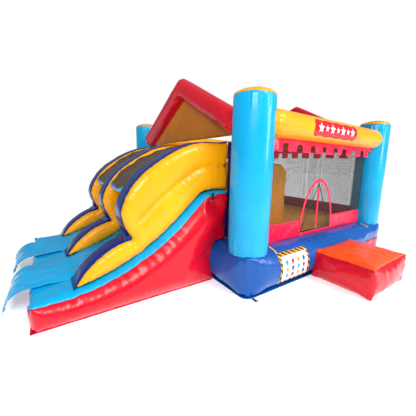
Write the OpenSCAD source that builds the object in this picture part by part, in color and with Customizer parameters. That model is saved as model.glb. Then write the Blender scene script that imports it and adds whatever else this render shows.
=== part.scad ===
// Inflatable bounce house with a twin-lane slide on its left side, a mattress step at the door and a
// gabled tube on each side. Air chambers are hollow shells of coated fabric.

/* [House] */
// Distance between the left and right pillar axes
pillar_dx = 3070; // [2700:10:3400]
// Distance between the front and rear pillar axes
pillar_dy = 3430; // [3200:10:3800]
// How far the base stands out past the pillar axes at the sides
edge_x = 225; // [200:5:300]
// How far the base stands out past the pillar axes at the front and back
edge_y = 250; // [240:5:320]
// Height of the base chamber
base_h = 510; // [480:5:540]
// Thickness of the quilted jumping bed on the base
bed_h = 30; // [20:5:50]
// Diameter of a corner pillar
pillar_d = 490; // [440:10:520]
// Height of a pillar's straight side
pillar_top = 2310; // [2250:10:2400]
// Rise of the domed pillar cap
cap_rise = 70; // [50:5:90]

/* [Beams and roof tubes] */
// Diameter of the front and rear beams
beam_d = 320; // [300:5:340]
// Height of the beam axes
beam_z = 2025; // [2000:5:2060]
// How far a beam axis stands outside the pillar axes
beam_out = 90; // [80:5:100]
// Diameter of a roof tube
roof_d = 310; // [280:5:330]
// Height of the roof tubes' apex axis
roof_z = 2750; // [2700:10:2820]
// Slope of the roof tubes
roof_slope = 27; // [25:1:28]
// Height of the gable fabric's lower edge
gable_z = 1900; // [1890:5:1940]

/* [Nets and door] */
// Thickness of nets and webbing
net_t = 2.5; // [2:0.5:3]
// Height of the nets' upper edge
net_top = 1880; // [1860:5:1885]
// Height of the skirt band at the nets' foot, above the base
band_h = 245; // [180:5:280]
// Centre of the door along the front
door_x = 1434; // [1380:2:1560]
// Half of the door arch's outer width
door_half = 443; // [400:1:460]
// Height of the door arch above the base
door_rise = 836; // [780:1:900]
// Width of the arch tape
tape_w = 45; // [35:1:50]
// Depth of the toothed valance
valance_h = 195; // [160:5:220]
// Number of valance teeth
teeth = 9; // [7:1:11]

/* [Step] */
// Width of the entry step
step_w = 1015; // [900:5:1100]
// Depth of the entry step
step_d = 800; // [700:10:900]
// Height of the entry step
step_h = 376; // [340:2:400]
// Left side of the entry step
step_x = 990; // [900:5:1050]

/* [Slide] */
// Side of the slide body nearest the front
slide_y = 383; // [380:1:420]
// Ledge between the slide's edge and its outer walls
ledge = 77; // [60:1:90]
// Thickness of a slide side wall
wall_w = 240; // [200:5:260]
// Distance from one side wall to the next
wall_pitch = 955; // [900:5:980]
// How far the loose cover sheet curls out past the slide's end
curl_r = 200; // [160:5:220]

/* [Fabric and fittings] */
// Thickness of the coated fabric
skin = 3; // [2.5:0.5:4]
// Radius of the ring wire
ring_wire = 3; // [2.5:0.5:4]
// Inner half-width of an anchor ring
ring_r = 25; // [20:1:30]
// Inner radius of the air inlet sleeve
inlet_r = 140; // [120:5:150]
// Length of the air inlet sleeve
inlet_l = 420; // [350:10:500]

/* [Hidden] */
$fn = 48;

gap = 0.3;              // clearance between neighbouring chambers
pillar_r = pillar_d / 2;
beam_r = beam_d / 2;
roof_r = roof_d / 2;
bed_z = base_h + bed_h;

// The slide's lane from the house down to its end, as [x, z] from the front left pillar's axis
lane_low = [[-374, 1190], [-560, 1015], [-750, 834], [-1000, 640], [-1305, 464],
            [-1560, 350], [-1833, 280], [-2205, 257]];
lane_start = -20;
slide_end = lane_low[len(lane_low) - 1][0];
lip_z = lane_low[len(lane_low) - 1][1];
platform_z = lane_low[0][1];
lane = concat([[lane_start, platform_z]], lane_low);
// The top line of a side wall: the upper hump, two tubes high, and the lower hump, one tube high
upper_hump = [[lane_start, 1821], [-444, 1810], [-680, 1735], [-933, 1597], [-1161, 1432],
              [-1301, 1267], [-1388, 1093], [-1401, 989], [-1370, 860], [-1287, 722]];
lower_hump = [[-1287, 722], [-1443, 680], [-1591, 592], [-1734, 465], [-1820, 345], [-1841, 292]];
deck_t = 4;             // upright thickness of the lane fabric
deck_lift = 6;          // how far the side walls stand above the slide body
slide_w = 2 * ledge + 2 * wall_pitch + wall_w;
wall_y = [for (i = [0 : 2]) slide_y + ledge + i * wall_pitch];
cover_w = wall_pitch - wall_w - 30;
cover_start = -620;
climb_end = 1280;       // end of the climb's side walls
climb_top = 1580;
climb_steps = 4;
climb_l = 1100;
lane_clear = 5;         // gap between a lane sheet and the side walls

// The door, in the plane of the front net
door_foot = base_h + 50;
door_apex = base_h + door_rise - tape_w - 8;
door_in = door_half - tape_w - 4;
slit = 2;               // gap round each door flap
zip_w = 22;

badge_x = 900;          // left end, width and height of the name panel on the front beam
badge_w = 1080;
badge_h = 210;
patch = [[265, 85], [835, 465]];        // corners of the notice patch in X and Z
strip = [[2660, 90], [pillar_dx + edge_x - 115, 215]];
strap_x = [275, pillar_dx - 330];       // the tie straps on the base's front ledge
strap_w = 24;

anchor_in = 105;        // from the base's corner to an anchor tab
tether_x = -280;
tether_z = 1085;
sleeve_r = ring_wire + 3.5;
sleeve_l = 36;
bar_l = 2 * (ring_r + ring_wire);
inlet_x = pillar_dx - 560;
inlet_z = inlet_r + 25;
vent_x = 620;
vent_w = 420;
vent_z = 330;
vent_drop = 110;

// The whole part's box, whose bottom centre is the origin
x_low = slide_end - 2 - curl_r;
x_high = pillar_dx + max(edge_x, pillar_r);
y_low = -edge_y - step_d;
y_high = pillar_dy + edge_y + inlet_l;
mid = [(x_low + x_high) / 2, (y_low + y_high) / 2];

module in_frame() translate([-mid[0], -mid[1], 0]) children();

function unit(v) = v / norm(v);
function left_of(a, b) = let (u = unit(b - a)) [-u[1], u[0]];
function mitre(n, m) = (n + m) / (1 + n * m);
// A closed anticlockwise outline moved inwards by d
function inset(p, d) = let (n = len(p)) [for (i = [0 : n - 1])
    p[i] + d * mitre(left_of(p[(i + n - 1) % n], p[i]), left_of(p[i], p[(i + 1) % n]))];
// An open path moved to its left by d
function beside(p, d) = let (n = len(p)) [for (i = [0 : n - 1])
    p[i] + d * (i == 0 ? left_of(p[0], p[1]) : i == n - 1 ? left_of(p[n - 2], p[n - 1])
                : mitre(left_of(p[i - 1], p[i]), left_of(p[i], p[i + 1])))];
function backwards(p) = [for (i = [len(p) - 1 : -1 : 0]) p[i]];
function ribbon(p, near, far) = concat(beside(p, near), backwards(beside(p, far)));
function arc(r, from, to, steps) = [for (i = [0 : steps]) let (a = from + (to - from) * i / steps) r * [cos(a), sin(a)]];
function moved(p, by) = [for (q = p) q + by];
function round_rect(w, d, r) = [for (c = [[w - r, d - r, 0], [r, d - r, 90], [r, r, 180], [w - r, r, 270]])
    each moved(arc(r, c[2], c[2] + 90, 6), [c[0], c[1]])];
function lifted(p, z) = moved(p, [0, z]);

// An upright outline in X and Z, swept along Y from y to y + w
module along_y(points, y, w) translate([0, y + w, 0]) rotate([90, 0, 0]) linear_extrude(w) polygon(points);
// An upright outline in Y and Z, swept along X from x to x + w
module along_x(points, x, w) translate([x, 0, 0]) rotate([90, 0, 90]) linear_extrude(w) polygon(points);

// A closed chamber from an upright outline in X and Z
module chamber_y(points, y, w) difference() {
    along_y(points, y, w);
    along_y(inset(points, skin), y + skin, w - 2 * skin);
}

// A closed chamber with vertical sides
module chamber_z(points, z, h) difference() {
    translate([0, 0, z]) linear_extrude(h) polygon(points);
    translate([0, 0, z + skin]) linear_extrude(h - 2 * skin) polygon(inset(points, skin));
}

module box(low, high) translate(low) cube(high - low);

// ---- Base and bed ----
module base() color("royalblue") in_frame() difference() {
    chamber_z(moved(round_rect(pillar_dx + 2 * edge_x, pillar_dy + 2 * edge_y, 110), [-edge_x, -edge_y]), 0, base_h);
    translate([inlet_x, pillar_dy + edge_y + 1, inlet_z]) rotate([90, 0, 0]) cylinder(r = inlet_r, h = 2 * skin);
}

module floor_baffles() color("silver") in_frame() {
    count = 6;
    for (i = [1 : count])
        translate([-edge_x + i * (pillar_dx + 2 * edge_x) / (count + 1), -edge_y + 60, skin + gap])
            cube([2, pillar_dy + 2 * edge_y - 120, base_h - 2 * (skin + gap)]);
}

module jump_bed() color("gold") in_frame() {
    clear = pillar_r + 10;
    rim = 20;
    w = pillar_dx;
    d = pillar_dy;
    chamber_z([[clear, rim], [w - clear, rim], [w - clear, clear], [w - rim, clear],
               [w - rim, d - clear], [w - clear, d - clear], [w - clear, d - rim], [clear, d - rim],
               [clear, d - clear], [rim, d - clear], [rim, clear], [clear, clear]], base_h, bed_h);
}

// ---- Pillars ----
module at_pillar(ix, iy) translate([ix * pillar_dx, iy * pillar_dy, 0]) children();

module pillar(ix, iy) color("deepskyblue") in_frame() at_pillar(ix, iy) difference() {
    translate([0, 0, base_h]) cylinder(r = pillar_r, h = pillar_top - base_h);
    translate([0, 0, base_h + skin]) cylinder(r = pillar_r - skin, h = pillar_top - base_h - 2 * skin);
}

module pillar_front_left() pillar(0, 0);
module pillar_front_right() pillar(1, 0);
module pillar_rear_left() pillar(0, 1);
module pillar_rear_right() pillar(1, 1);

module pillar_caps() color("orange") in_frame() {
    dome_r = (pillar_r * pillar_r + cap_rise * cap_rise) / (2 * cap_rise);
    low = 90 - asin(pillar_r / dome_r);
    outer = arc(dome_r, low, 90, 8);
    inner = arc(dome_r - skin, 90, low, 8);
    for (ix = [0, 1], iy = [0, 1])
        at_pillar(ix, iy) translate([0, 0, pillar_top + cap_rise - dome_r])
            intersection() {
                rotate_extrude() polygon(concat([for (p = outer) [max(p[0], 0), p[1]]],
                                                [for (p = inner) [abs(p[0]) < 0.001 ? 0 : p[0], p[1]]]));
                translate([0, 0, dome_r - cap_rise]) cylinder(r = pillar_r + 1, h = cap_rise + 1);
            }
}

module pillar_cuts() for (ix = [0, 1], iy = [0, 1]) at_pillar(ix, iy)
    translate([0, 0, base_h - 1]) cylinder(r = pillar_r + gap, h = pillar_top + cap_rise);

// ---- Beams ----
module capsule_x(r, length) {
    rotate([0, 90, 0]) cylinder(r = r, h = length);
    sphere(r = r);
    translate([length, 0, 0]) sphere(r = r);
}

module beam(y) color("gold") in_frame() difference() {
    translate([beam_r + 10, y, beam_z]) capsule_x(beam_r, pillar_dx - 2 * beam_r - 20);
    translate([beam_r + 10, y, beam_z]) capsule_x(beam_r - skin, pillar_dx - 2 * beam_r - 20);
    pillar_cuts();
}

module front_beam() beam(-beam_out);
module rear_beam() beam(pillar_dy + beam_out);

// A plain name panel that wraps the front of the beam
module beam_badge() color("crimson") in_frame() translate([0, -beam_out, beam_z]) intersection() {
    translate([badge_x, 0, 0]) rotate([0, 90, 0]) difference() {
        cylinder(r = beam_r + gap + net_t, h = badge_w);
        translate([0, 0, -1]) cylinder(r = beam_r + gap, h = badge_w + 2);
    }
    box([badge_x - 1, -2 * beam_r, -badge_h / 2], [badge_x + badge_w + 1, -beam_r / 2, badge_h / 2]);
}

// A band with square teeth below it, in X and Z
function toothed(x0, x1, top, count) = let (pitch = (x1 - x0) / count, root = top - valance_h * 0.36, foot = top - valance_h)
    concat([[x1, top], [x0, top]],
           [for (i = [0 : count - 1]) let (x = x0 + i * pitch)
               each [[x + 0.02 * pitch, foot], [x + 0.62 * pitch, foot], [x + 0.62 * pitch, root], [x + pitch, root]]]);

module valance(y) color("crimson") in_frame()
    along_y(toothed(pillar_r + gap, pillar_dx - pillar_r - gap, beam_z - beam_r - gap, teeth), y - net_t / 2, net_t);

module front_valance() valance(-beam_out);
module rear_valance() valance(pillar_dy + beam_out);

// ---- Roof tubes and gable fabric ----
// One leg of a roof tube, from its mitre at the apex down to the pillar
module roof_leg(r, end_skin) {
    run = pillar_dy / 2;
    length = run / cos(roof_slope) + roof_d;
    intersection() {
        translate([0, run, roof_z]) rotate([90 + roof_slope, 0, 0]) translate([0, 0, -roof_r])
            cylinder(r = r, h = length);
        box([-roof_d, 0, base_h], [roof_d, run - gap - end_skin, roof_z + roof_d]);
    }
}

module roof_tube(x, ix) color("crimson") in_frame()
    for (side = [0, 1]) translate([x, side * pillar_dy, 0]) mirror([0, side, 0]) difference() {
        roof_leg(roof_r, 0);
        roof_leg(roof_r - skin, skin);
        translate([ix * pillar_dx - x, 0, base_h]) cylinder(r = pillar_r + gap, h = roof_z);
    }

roof_in = 20;
module roof_tube_left() roof_tube(roof_in, 0);
module roof_tube_right() roof_tube(pillar_dx - roof_in, 1);

gable_half = (roof_z - roof_r / cos(roof_slope) - 2 - gable_z) / tan(roof_slope);
module gable_panels() color("goldenrod") in_frame() for (x = [roof_in, pillar_dx - roof_in])
    along_x([[pillar_dy / 2 - gable_half, gable_z], [pillar_dy / 2 + gable_half, gable_z],
             [pillar_dy / 2, gable_z + gable_half * tan(roof_slope)]], x - skin / 2, skin);

// ---- Nets, panels and bands ----
net_in = pillar_r + 10;
eave_drop = 80;         // how far the side net's corners stand below the gable fabric
// Half-width of the arch's outline at a height above the base, for a given outer half-width and rise
function arch_half(z, half, rise) = half * sqrt(max(0, 1 - (z / rise) * (z / rise)));

module net_xz(y, top) along_y([[net_in, base_h], [pillar_dx - net_in, base_h],
                               [pillar_dx - net_in, top], [net_in, top]], y - net_t / 2, net_t);

module door_triangle(half, foot, apex, t) along_y([[door_x - half, foot], [door_x + half, foot], [door_x, apex]], -t / 2, t);

module front_net() color("dimgray", 0.5) in_frame() difference() {
    net_xz(0, net_top);
    door_triangle(door_in, door_foot, door_apex, 3 * net_t);
}

module rear_net() color("dimgray", 0.5) in_frame() net_xz(pillar_dy, net_top);

module right_net() color("dimgray", 0.5) in_frame() {
    eave = gable_z - eave_drop;
    top = gable_z - 5;
    along_x([[net_in, bed_z], [pillar_dy - net_in, bed_z], [pillar_dy - net_in, eave],
             [pillar_dy / 2 + gable_half - 10, top], [pillar_dy / 2 - gable_half + 10, top],
             [net_in, eave]], pillar_dx - roof_in - net_t / 2, net_t);
}

valance_room = 10.5;    // how far inside the side net its valance hangs
module side_valance() color("crimson") in_frame()
    along_x(toothed(pillar_dy / 2 - gable_half, pillar_dy / 2 + gable_half, gable_z - 5, teeth),
            pillar_dx - roof_in - valance_room - net_t / 2, net_t);

module side_panels() color("midnightblue") in_frame() {
    far = wall_y[2] + wall_w;
    box([-net_t / 2, net_in, bed_z], [net_t / 2, wall_y[0] - 2, gable_z - eave_drop]);
    box([-net_t / 2, far + 2, bed_z], [net_t / 2, pillar_dy - net_in, gable_z - eave_drop]);
}

band_y = -net_t / 2 - gap - skin;
band_steps = 6;
module front_bands() color("crimson") in_frame() {
    edge = [for (i = [0 : band_steps]) let (z = band_h * i / band_steps) [arch_half(z, door_half, door_rise), base_h + z]];
    along_y(concat([[net_in, base_h + band_h], [net_in, base_h]], [for (p = edge) [door_x - p[0], p[1]]]), band_y, skin);
    along_y(concat([[pillar_dx - net_in, base_h], [pillar_dx - net_in, base_h + band_h]],
                   backwards([for (p = edge) [door_x + p[0], p[1]]])), band_y, skin);
}

module rear_bands() color("crimson") in_frame() {
    box([net_in, pillar_dy + net_t / 2 + gap, base_h], [pillar_dx - net_in, pillar_dy + net_t / 2 + gap + skin, base_h + band_h]);
    box([pillar_dx + net_t / 2 + gap, net_in, base_h], [pillar_dx + net_t / 2 + gap + skin, pillar_dy - net_in, base_h + band_h]);
}

// ---- Door ----
tape_y = band_y - gap - skin;
module door_arch_tape() color("crimson") in_frame() {
    arch_steps = 20;
    outer = [for (i = [0 : arch_steps]) let (a = 180 * i / arch_steps) [door_x + door_half * cos(a), base_h + door_rise * sin(a)]];
    inner = [for (i = [arch_steps : -1 : 0]) let (a = 180 * i / arch_steps)
             [door_x + (door_half - tape_w) * cos(a), base_h + (door_rise - tape_w) * sin(a)]];
    along_y(concat(outer, inner), tape_y, skin);
}

// The left half of the door net, hinged along its slanting outer edge
module flap_half() {
    lean = slit * sqrt(1 + pow((door_apex - door_foot) / door_in, 2)) / ((door_apex - door_foot) / door_in);
    along_y([[door_x - door_in + 2 * lean, door_foot + slit], [door_x - slit / 2, door_foot + slit],
             [door_x - slit / 2, door_apex - 3 * slit]], -net_t / 2, net_t);
}

module zip_half() box([door_x - slit / 2 - zip_w, -net_t / 2 - gap - net_t, door_foot + 3 * slit],
                      [door_x - slit / 2, -net_t / 2 - gap, door_apex - 80]);

module mirrored_at_door() translate([2 * door_x, 0, 0]) mirror([1, 0, 0]) children();

module door_flap_left() color("dimgray", 0.5) in_frame() flap_half();
module door_flap_right() color("dimgray", 0.5) in_frame() mirrored_at_door() flap_half();
module zip_tape_left() color("crimson") in_frame() zip_half();
module zip_tape_right() color("crimson") in_frame() mirrored_at_door() zip_half();

module sill_tape() color("crimson") in_frame()
    box([door_x - door_half + tape_w + 2, band_y, base_h], [door_x + door_half - tape_w - 2, band_y + skin, door_foot - 4]);

// A zip slider with its pull, 16 mm wide and 26 mm long
module slider() {
    cube([16, 6, 26]);
    translate([5, -gap - 2, -22]) cube([6, 2, 40]);
    translate([6, -3, 12]) cube([4, 4, 6]);
}

module door_zip_slider() color("silver") in_frame()
    translate([door_x - 20, -net_t / 2 - 2 * gap - net_t - 6, door_foot + 30]) slider();
module sill_zip_slider() color("silver") in_frame()
    translate([door_x - door_in + 20, band_y - gap - 6, base_h + 17]) rotate([0, 90, 0]) translate([-16, 0, 0]) slider();

// ---- Step and patches on the base ----
module step_body() color("crimson") in_frame()
    chamber_z(moved(round_rect(step_w, step_d - gap, 45), [step_x, -edge_y - step_d]), 0, step_h - deck_t);

module step_top() color("orangered") in_frame() translate([step_x, -edge_y - step_d, step_h - deck_t])
    linear_extrude(deck_t) polygon(round_rect(step_w, step_d - gap, 45));

// A thin patch on the base's front, from its corners in X and Z
module on_front(area) box([area[0][0], -edge_y - gap - skin, area[0][1]], [area[1][0], -edge_y - gap, area[1][1]]);
module info_patch() color("white") in_frame() on_front(patch);
module corner_strip() color("crimson") in_frame() on_front(strip);

module tie_straps() color("gold") in_frame() for (x = strap_x)
    box([x - strap_w / 2, -edge_y + 15, base_h], [x + strap_w / 2, -edge_y + 155, base_h + skin]);

// ---- Climb inside the house ----
module climb_ramp() color("deepskyblue") in_frame() {
    tread = climb_l / climb_steps;
    rise = (platform_z - bed_z) / (climb_steps + 1);
    for (i = [0 : climb_steps - 1]) {
        x0 = lane_start + 0.5 + i * tread;
        top = platform_z - (i + 1) * rise;
        chamber_y([[x0, bed_z], [x0 + tread - 1, bed_z], [x0 + tread - 1, top], [x0, top]],
                  wall_y[0] + wall_w + 1, wall_y[2] - wall_y[0] - wall_w - 2);
    }
}

module climb_wall(y) color("gold") in_frame() {
    corner = 220;
    chamber_y(concat([[lane_start + 1, climb_top], [lane_start + 1, bed_z], [climb_end, bed_z]],
                     moved(arc(corner, 0, 90, 8), [climb_end - corner, climb_top - corner])), y, wall_w);
}

module climb_wall_near() climb_wall(wall_y[0]);
module climb_wall_far() climb_wall(wall_y[2]);

// ---- Slide ----
// The slide body's sections between its inner baffles, each from one lane point to a later one
module slide_body() color("crimson") in_frame() {
    cuts = [1, 3, 5, 8];
    half_gap = 0.5;
    chamber_y([[lane_start, base_h + gap], [lane_start, platform_z], [-edge_x, platform_z], [-edge_x, base_h + gap]],
              slide_y, slide_w);
    chamber_y([[-edge_x - half_gap, 0], [-edge_x - half_gap, platform_z], [lane[1][0], platform_z], [lane[1][0], 0]],
              slide_y, slide_w);
    for (i = [0 : 2]) {
        top = [for (k = [cuts[i] : cuts[i + 1]]) lane[k] - (k == cuts[i] ? 2 * half_gap * [1, 1] : [0, 0])];
        chamber_y(concat([[top[0][0], 0]], top, [[top[len(top) - 1][0], 0]]), slide_y, slide_w);
    }
}

module slide_deck() color("deepskyblue") in_frame()
    along_y(concat(lifted(lane, gap), backwards(lifted(lane, gap + deck_t))), slide_y, slide_w);

// The lane's height at x, on the straight runs between its points
function lane_at(x) = let (k = [for (i = [0 : len(lane) - 2]) if (x <= lane[i][0] && x >= lane[i + 1][0]) i][0],
    a = lane[k], b = lane[k + 1]) a[1] + (b[1] - a[1]) * (x - a[0]) / (b[0] - a[0]);
// A stretch of side wall from the top line's points down to the deck
function wall_part(top) = let (xa = top[0][0], xb = top[len(top) - 1][0])
    concat(top, lifted([[xb, lane_at(xb)], each backwards([for (p = lane) if (p[0] < xa - 5 && p[0] > xb + 5) p]),
                        [xa, lane_at(xa)]], deck_lift));
function some(p, from, to) = [for (i = [from : to]) p[i]];

module slide_wall(y) color("gold") in_frame() {
    parts = [some(upper_hump, 0, 1), some(upper_hump, 1, 3), some(upper_hump, 3, 9), lower_hump];
    for (i = [0 : len(parts) - 1])
        chamber_y(moved(wall_part(parts[i]), [-i, 0]), y, wall_w);
}

module slide_wall_near() slide_wall(wall_y[0]);
module slide_wall_middle() slide_wall(wall_y[1]);
module slide_wall_far() slide_wall(wall_y[2]);

module wall_caps() color("navy") in_frame() for (y = wall_y)
    along_y(ribbon(concat(upper_hump, moved(some(lower_hump, 1, 4), [-3, 0])), -6, -6 - skin), y + 2, wall_w - 4);

module lane_nets() color("saddlebrown", 0.6) in_frame() for (i = [0, 1])
    along_y(ribbon(concat([[lane_start - 40, 1820]], some(upper_hump, 1, 5)), 40, 40 + net_t),
            wall_y[i] + wall_w + lane_clear, wall_pitch - wall_w - 2 * lane_clear);

module cover_sheets() color("dodgerblue") in_frame() for (i = [0, 1])
    along_y(let (run = concat([[cover_start, lane_at(cover_start)]],
                              [for (p = lane) if (p[0] < cover_start) [max(p[0], slide_end + fold_room), p[1]]]))
            concat(lifted(run, deck_t + 2), backwards(lifted(run, deck_t + 2 + skin))),
            wall_y[i] + wall_w + 15, cover_w);

fold_room = 4;          // how far the sheets end before the slide does, so that the flaps fold back over them
hinge_x = slide_end - 2;
hinge_z = lip_z + deck_t + 2 + skin / 2;
module cover_flap(i) color("dodgerblue") in_frame() {
    sheet_mid = [hinge_x, hinge_z + skin / 2 - curl_r];
    along_y(moved(concat(arc(curl_r, 90, 180, 10), arc(curl_r - skin, 180, 90, 10)), sheet_mid),
            wall_y[i] + wall_w + 20, cover_w - 10);
}

module cover_flap_near() cover_flap(0);
module cover_flap_far() cover_flap(1);

// ---- Anchor rings ----
// A D-ring that lies in the XY plane, its straight bar along X at the origin and its bow towards -Y
module d_ring() {
    bow = ring_r;
    translate([-bow, 0, 0]) rotate([0, 90, 0]) cylinder(r = ring_wire, h = 2 * bow);
    mirror([0, 1, 0]) rotate_extrude(angle = 180) translate([bow, 0]) circle(r = ring_wire);
    for (s = [-1, 1]) translate([s * bow, 0, 0]) sphere(r = ring_wire);
}

// A webbing tab that runs from the origin's bar back to y = length, with a sleeve for the bar
module tab(length) difference() {
    union() {
        translate([-sleeve_l / 2, 0, 0]) rotate([0, 90, 0]) cylinder(r = sleeve_r, h = sleeve_l);
        box([-sleeve_l / 2, 0, -skin / 2], [sleeve_l / 2, length, skin / 2]);
    }
    translate([-sleeve_l, 0, 0]) rotate([0, 90, 0]) cylinder(r = ring_wire + 0.05, h = 2 * sleeve_l);
}

tab_l = 60;
module at_corner(ix, iy) translate([ix == 0 ? -edge_x + anchor_in : pillar_dx + edge_x - anchor_in,
                                    iy == 0 ? -edge_y - gap - tab_l : pillar_dy + edge_y + gap + tab_l, sleeve_r])
    mirror([0, iy, 0]) children();
tether_len = 90;
module at_tether(side) translate([tether_x, side == 0 ? slide_y - sleeve_r - gap : slide_y + slide_w + sleeve_r + gap, tether_z])
    mirror([0, side, 0]) rotate([90, 0, 0]) children();

module anchor_tabs() color("black") in_frame() {
    for (ix = [0, 1], iy = [0, 1]) at_corner(ix, iy) tab(tab_l);
    for (side = [0, 1]) at_tether(side) tab(tether_len);
}

module tether_ring_near() color("silver") in_frame() at_tether(0) d_ring();
module tether_ring_far() color("silver") in_frame() at_tether(1) d_ring();
module anchor_ring_front_left() color("silver") in_frame() at_corner(0, 0) d_ring();
module anchor_ring_front_right() color("silver") in_frame() at_corner(1, 0) d_ring();
module anchor_ring_rear_left() color("silver") in_frame() at_corner(0, 1) d_ring();
module anchor_ring_rear_right() color("silver") in_frame() at_corner(1, 1) d_ring();

// ---- Air fittings on the back ----
module at_inlet() translate([inlet_x, pillar_dy + edge_y + gap, inlet_z]) rotate([-90, 0, 0]) children();

module inlet_sleeve() color("royalblue") in_frame() at_inlet() difference() {
    cylinder(r = inlet_r + skin, h = inlet_l - gap);
    translate([0, 0, -1]) cylinder(r = inlet_r, h = inlet_l + 2);
}

module sleeve_strap() color("black") in_frame() at_inlet() translate([0, 0, inlet_l - 120]) difference() {
    union() {
        cylinder(r = inlet_r + skin + gap + net_t, h = 40);
        box([-30, -inlet_r - skin - 12, 2], [30, -inlet_r - skin + 3, 38]);
    }
    translate([0, 0, -1]) cylinder(r = inlet_r + skin + gap, h = 42);
}

module vent_zip() color("black") in_frame() box([vent_x, pillar_dy + edge_y + gap, vent_z - 60],
                                                [vent_x + vent_w, pillar_dy + edge_y + gap + net_t, vent_z - 30]);

module vent_flap() color("royalblue") in_frame() box([vent_x - 25, pillar_dy + edge_y + 2 * gap + net_t, vent_z - vent_drop],
                                                     [vent_x + vent_w + 25, pillar_dy + edge_y + 2 * gap + net_t + skin, vent_z]);

base();
floor_baffles();
jump_bed();
pillar_front_left();
pillar_front_right();
pillar_rear_left();
pillar_rear_right();
pillar_caps();
front_beam();
rear_beam();
beam_badge();
front_valance();
rear_valance();
side_valance();
roof_tube_left();
roof_tube_right();
gable_panels();
front_net();
rear_net();
right_net();
side_panels();
front_bands();
rear_bands();
door_arch_tape();
door_flap_left();
door_flap_right();
zip_tape_left();
zip_tape_right();
sill_tape();
door_zip_slider();
sill_zip_slider();
step_body();
step_top();
info_patch();
corner_strip();
tie_straps();
climb_ramp();
climb_wall_near();
climb_wall_far();
slide_body();
slide_deck();
slide_wall_near();
slide_wall_middle();
slide_wall_far();
wall_caps();
lane_nets();
cover_sheets();
cover_flap_near();
cover_flap_far();
anchor_tabs();
tether_ring_near();
tether_ring_far();
anchor_ring_front_left();
anchor_ring_front_right();
anchor_ring_rear_left();
anchor_ring_rear_right();
inlet_sleeve();
sleeve_strap();
vent_zip();
vent_flap();
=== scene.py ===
"""Looks of the inflatable bounce house: blown-up chambers, nets, tapes and webbing on the frame."""

import logging
import math
from collections.abc import Callable
from dataclasses import dataclass
from enum import Enum

import bmesh
import bpy
import numpy as np
from mathutils import Matrix, Vector, noise
from mathutils.bvhtree import BVHTree
from mathutils.kdtree import KDTree


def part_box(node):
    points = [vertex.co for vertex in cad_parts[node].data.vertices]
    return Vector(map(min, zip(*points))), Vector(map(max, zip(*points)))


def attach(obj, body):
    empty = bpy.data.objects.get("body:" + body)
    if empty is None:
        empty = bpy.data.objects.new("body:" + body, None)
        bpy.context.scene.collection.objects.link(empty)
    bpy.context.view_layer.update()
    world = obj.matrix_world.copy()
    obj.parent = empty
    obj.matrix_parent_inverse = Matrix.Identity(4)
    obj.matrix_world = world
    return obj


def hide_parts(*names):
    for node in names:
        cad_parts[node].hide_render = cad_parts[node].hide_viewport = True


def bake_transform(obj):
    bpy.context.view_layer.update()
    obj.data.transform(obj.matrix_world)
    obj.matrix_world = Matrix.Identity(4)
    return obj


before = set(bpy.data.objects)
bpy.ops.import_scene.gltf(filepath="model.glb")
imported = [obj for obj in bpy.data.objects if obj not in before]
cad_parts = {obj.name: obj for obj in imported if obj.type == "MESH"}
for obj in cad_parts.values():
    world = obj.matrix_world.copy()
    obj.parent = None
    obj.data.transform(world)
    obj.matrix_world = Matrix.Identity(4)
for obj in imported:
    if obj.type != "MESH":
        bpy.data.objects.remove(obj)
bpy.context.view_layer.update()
LOG = logging.getLogger("bounce_house")
HOUSE = "house"
GROUND = 0.0
Outline = list[tuple[float, float]]


# ---------------------------------------------------------------- finishes
class Shade(Enum):
    """Colours of the fabrics and fittings, as display values from 0 to 255; the gable's is the yellow
    darkened to paint the shade on it.
    """

    SKY = (0, 160, 214)
    ROYAL = (0, 78, 158)
    YELLOW = (247, 163, 0)
    # A darker copy of the yellow: painted shade for the gable fabric, which stands in shadow.
    GABLE_SHADED = (190, 112, 6)
    RED = (205, 2, 30)
    TRIM = (240, 12, 62)
    ORANGE = (250, 84, 30)
    NAVY = (0, 34, 112)
    NET = (22, 22, 24)
    LANE_NET = (70, 52, 30)
    WHITE = (236, 236, 232)
    BLACK = (16, 16, 18)
    STRAP = (240, 170, 20)
    BAFFLE = (205, 205, 200)
    STEEL = (196, 198, 202)
    FLOOR = (250, 250, 250)

    @property
    def linear(self) -> tuple[float, float, float, float]:
        """The colour in scene-linear values, with alpha 1."""
        parts = [c / 255 for c in self.value]
        return (*[c / 12.92 if c <= 0.04045 else ((c + 0.055) / 1.055) ** 2.4 for c in parts], 1.0)


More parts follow.
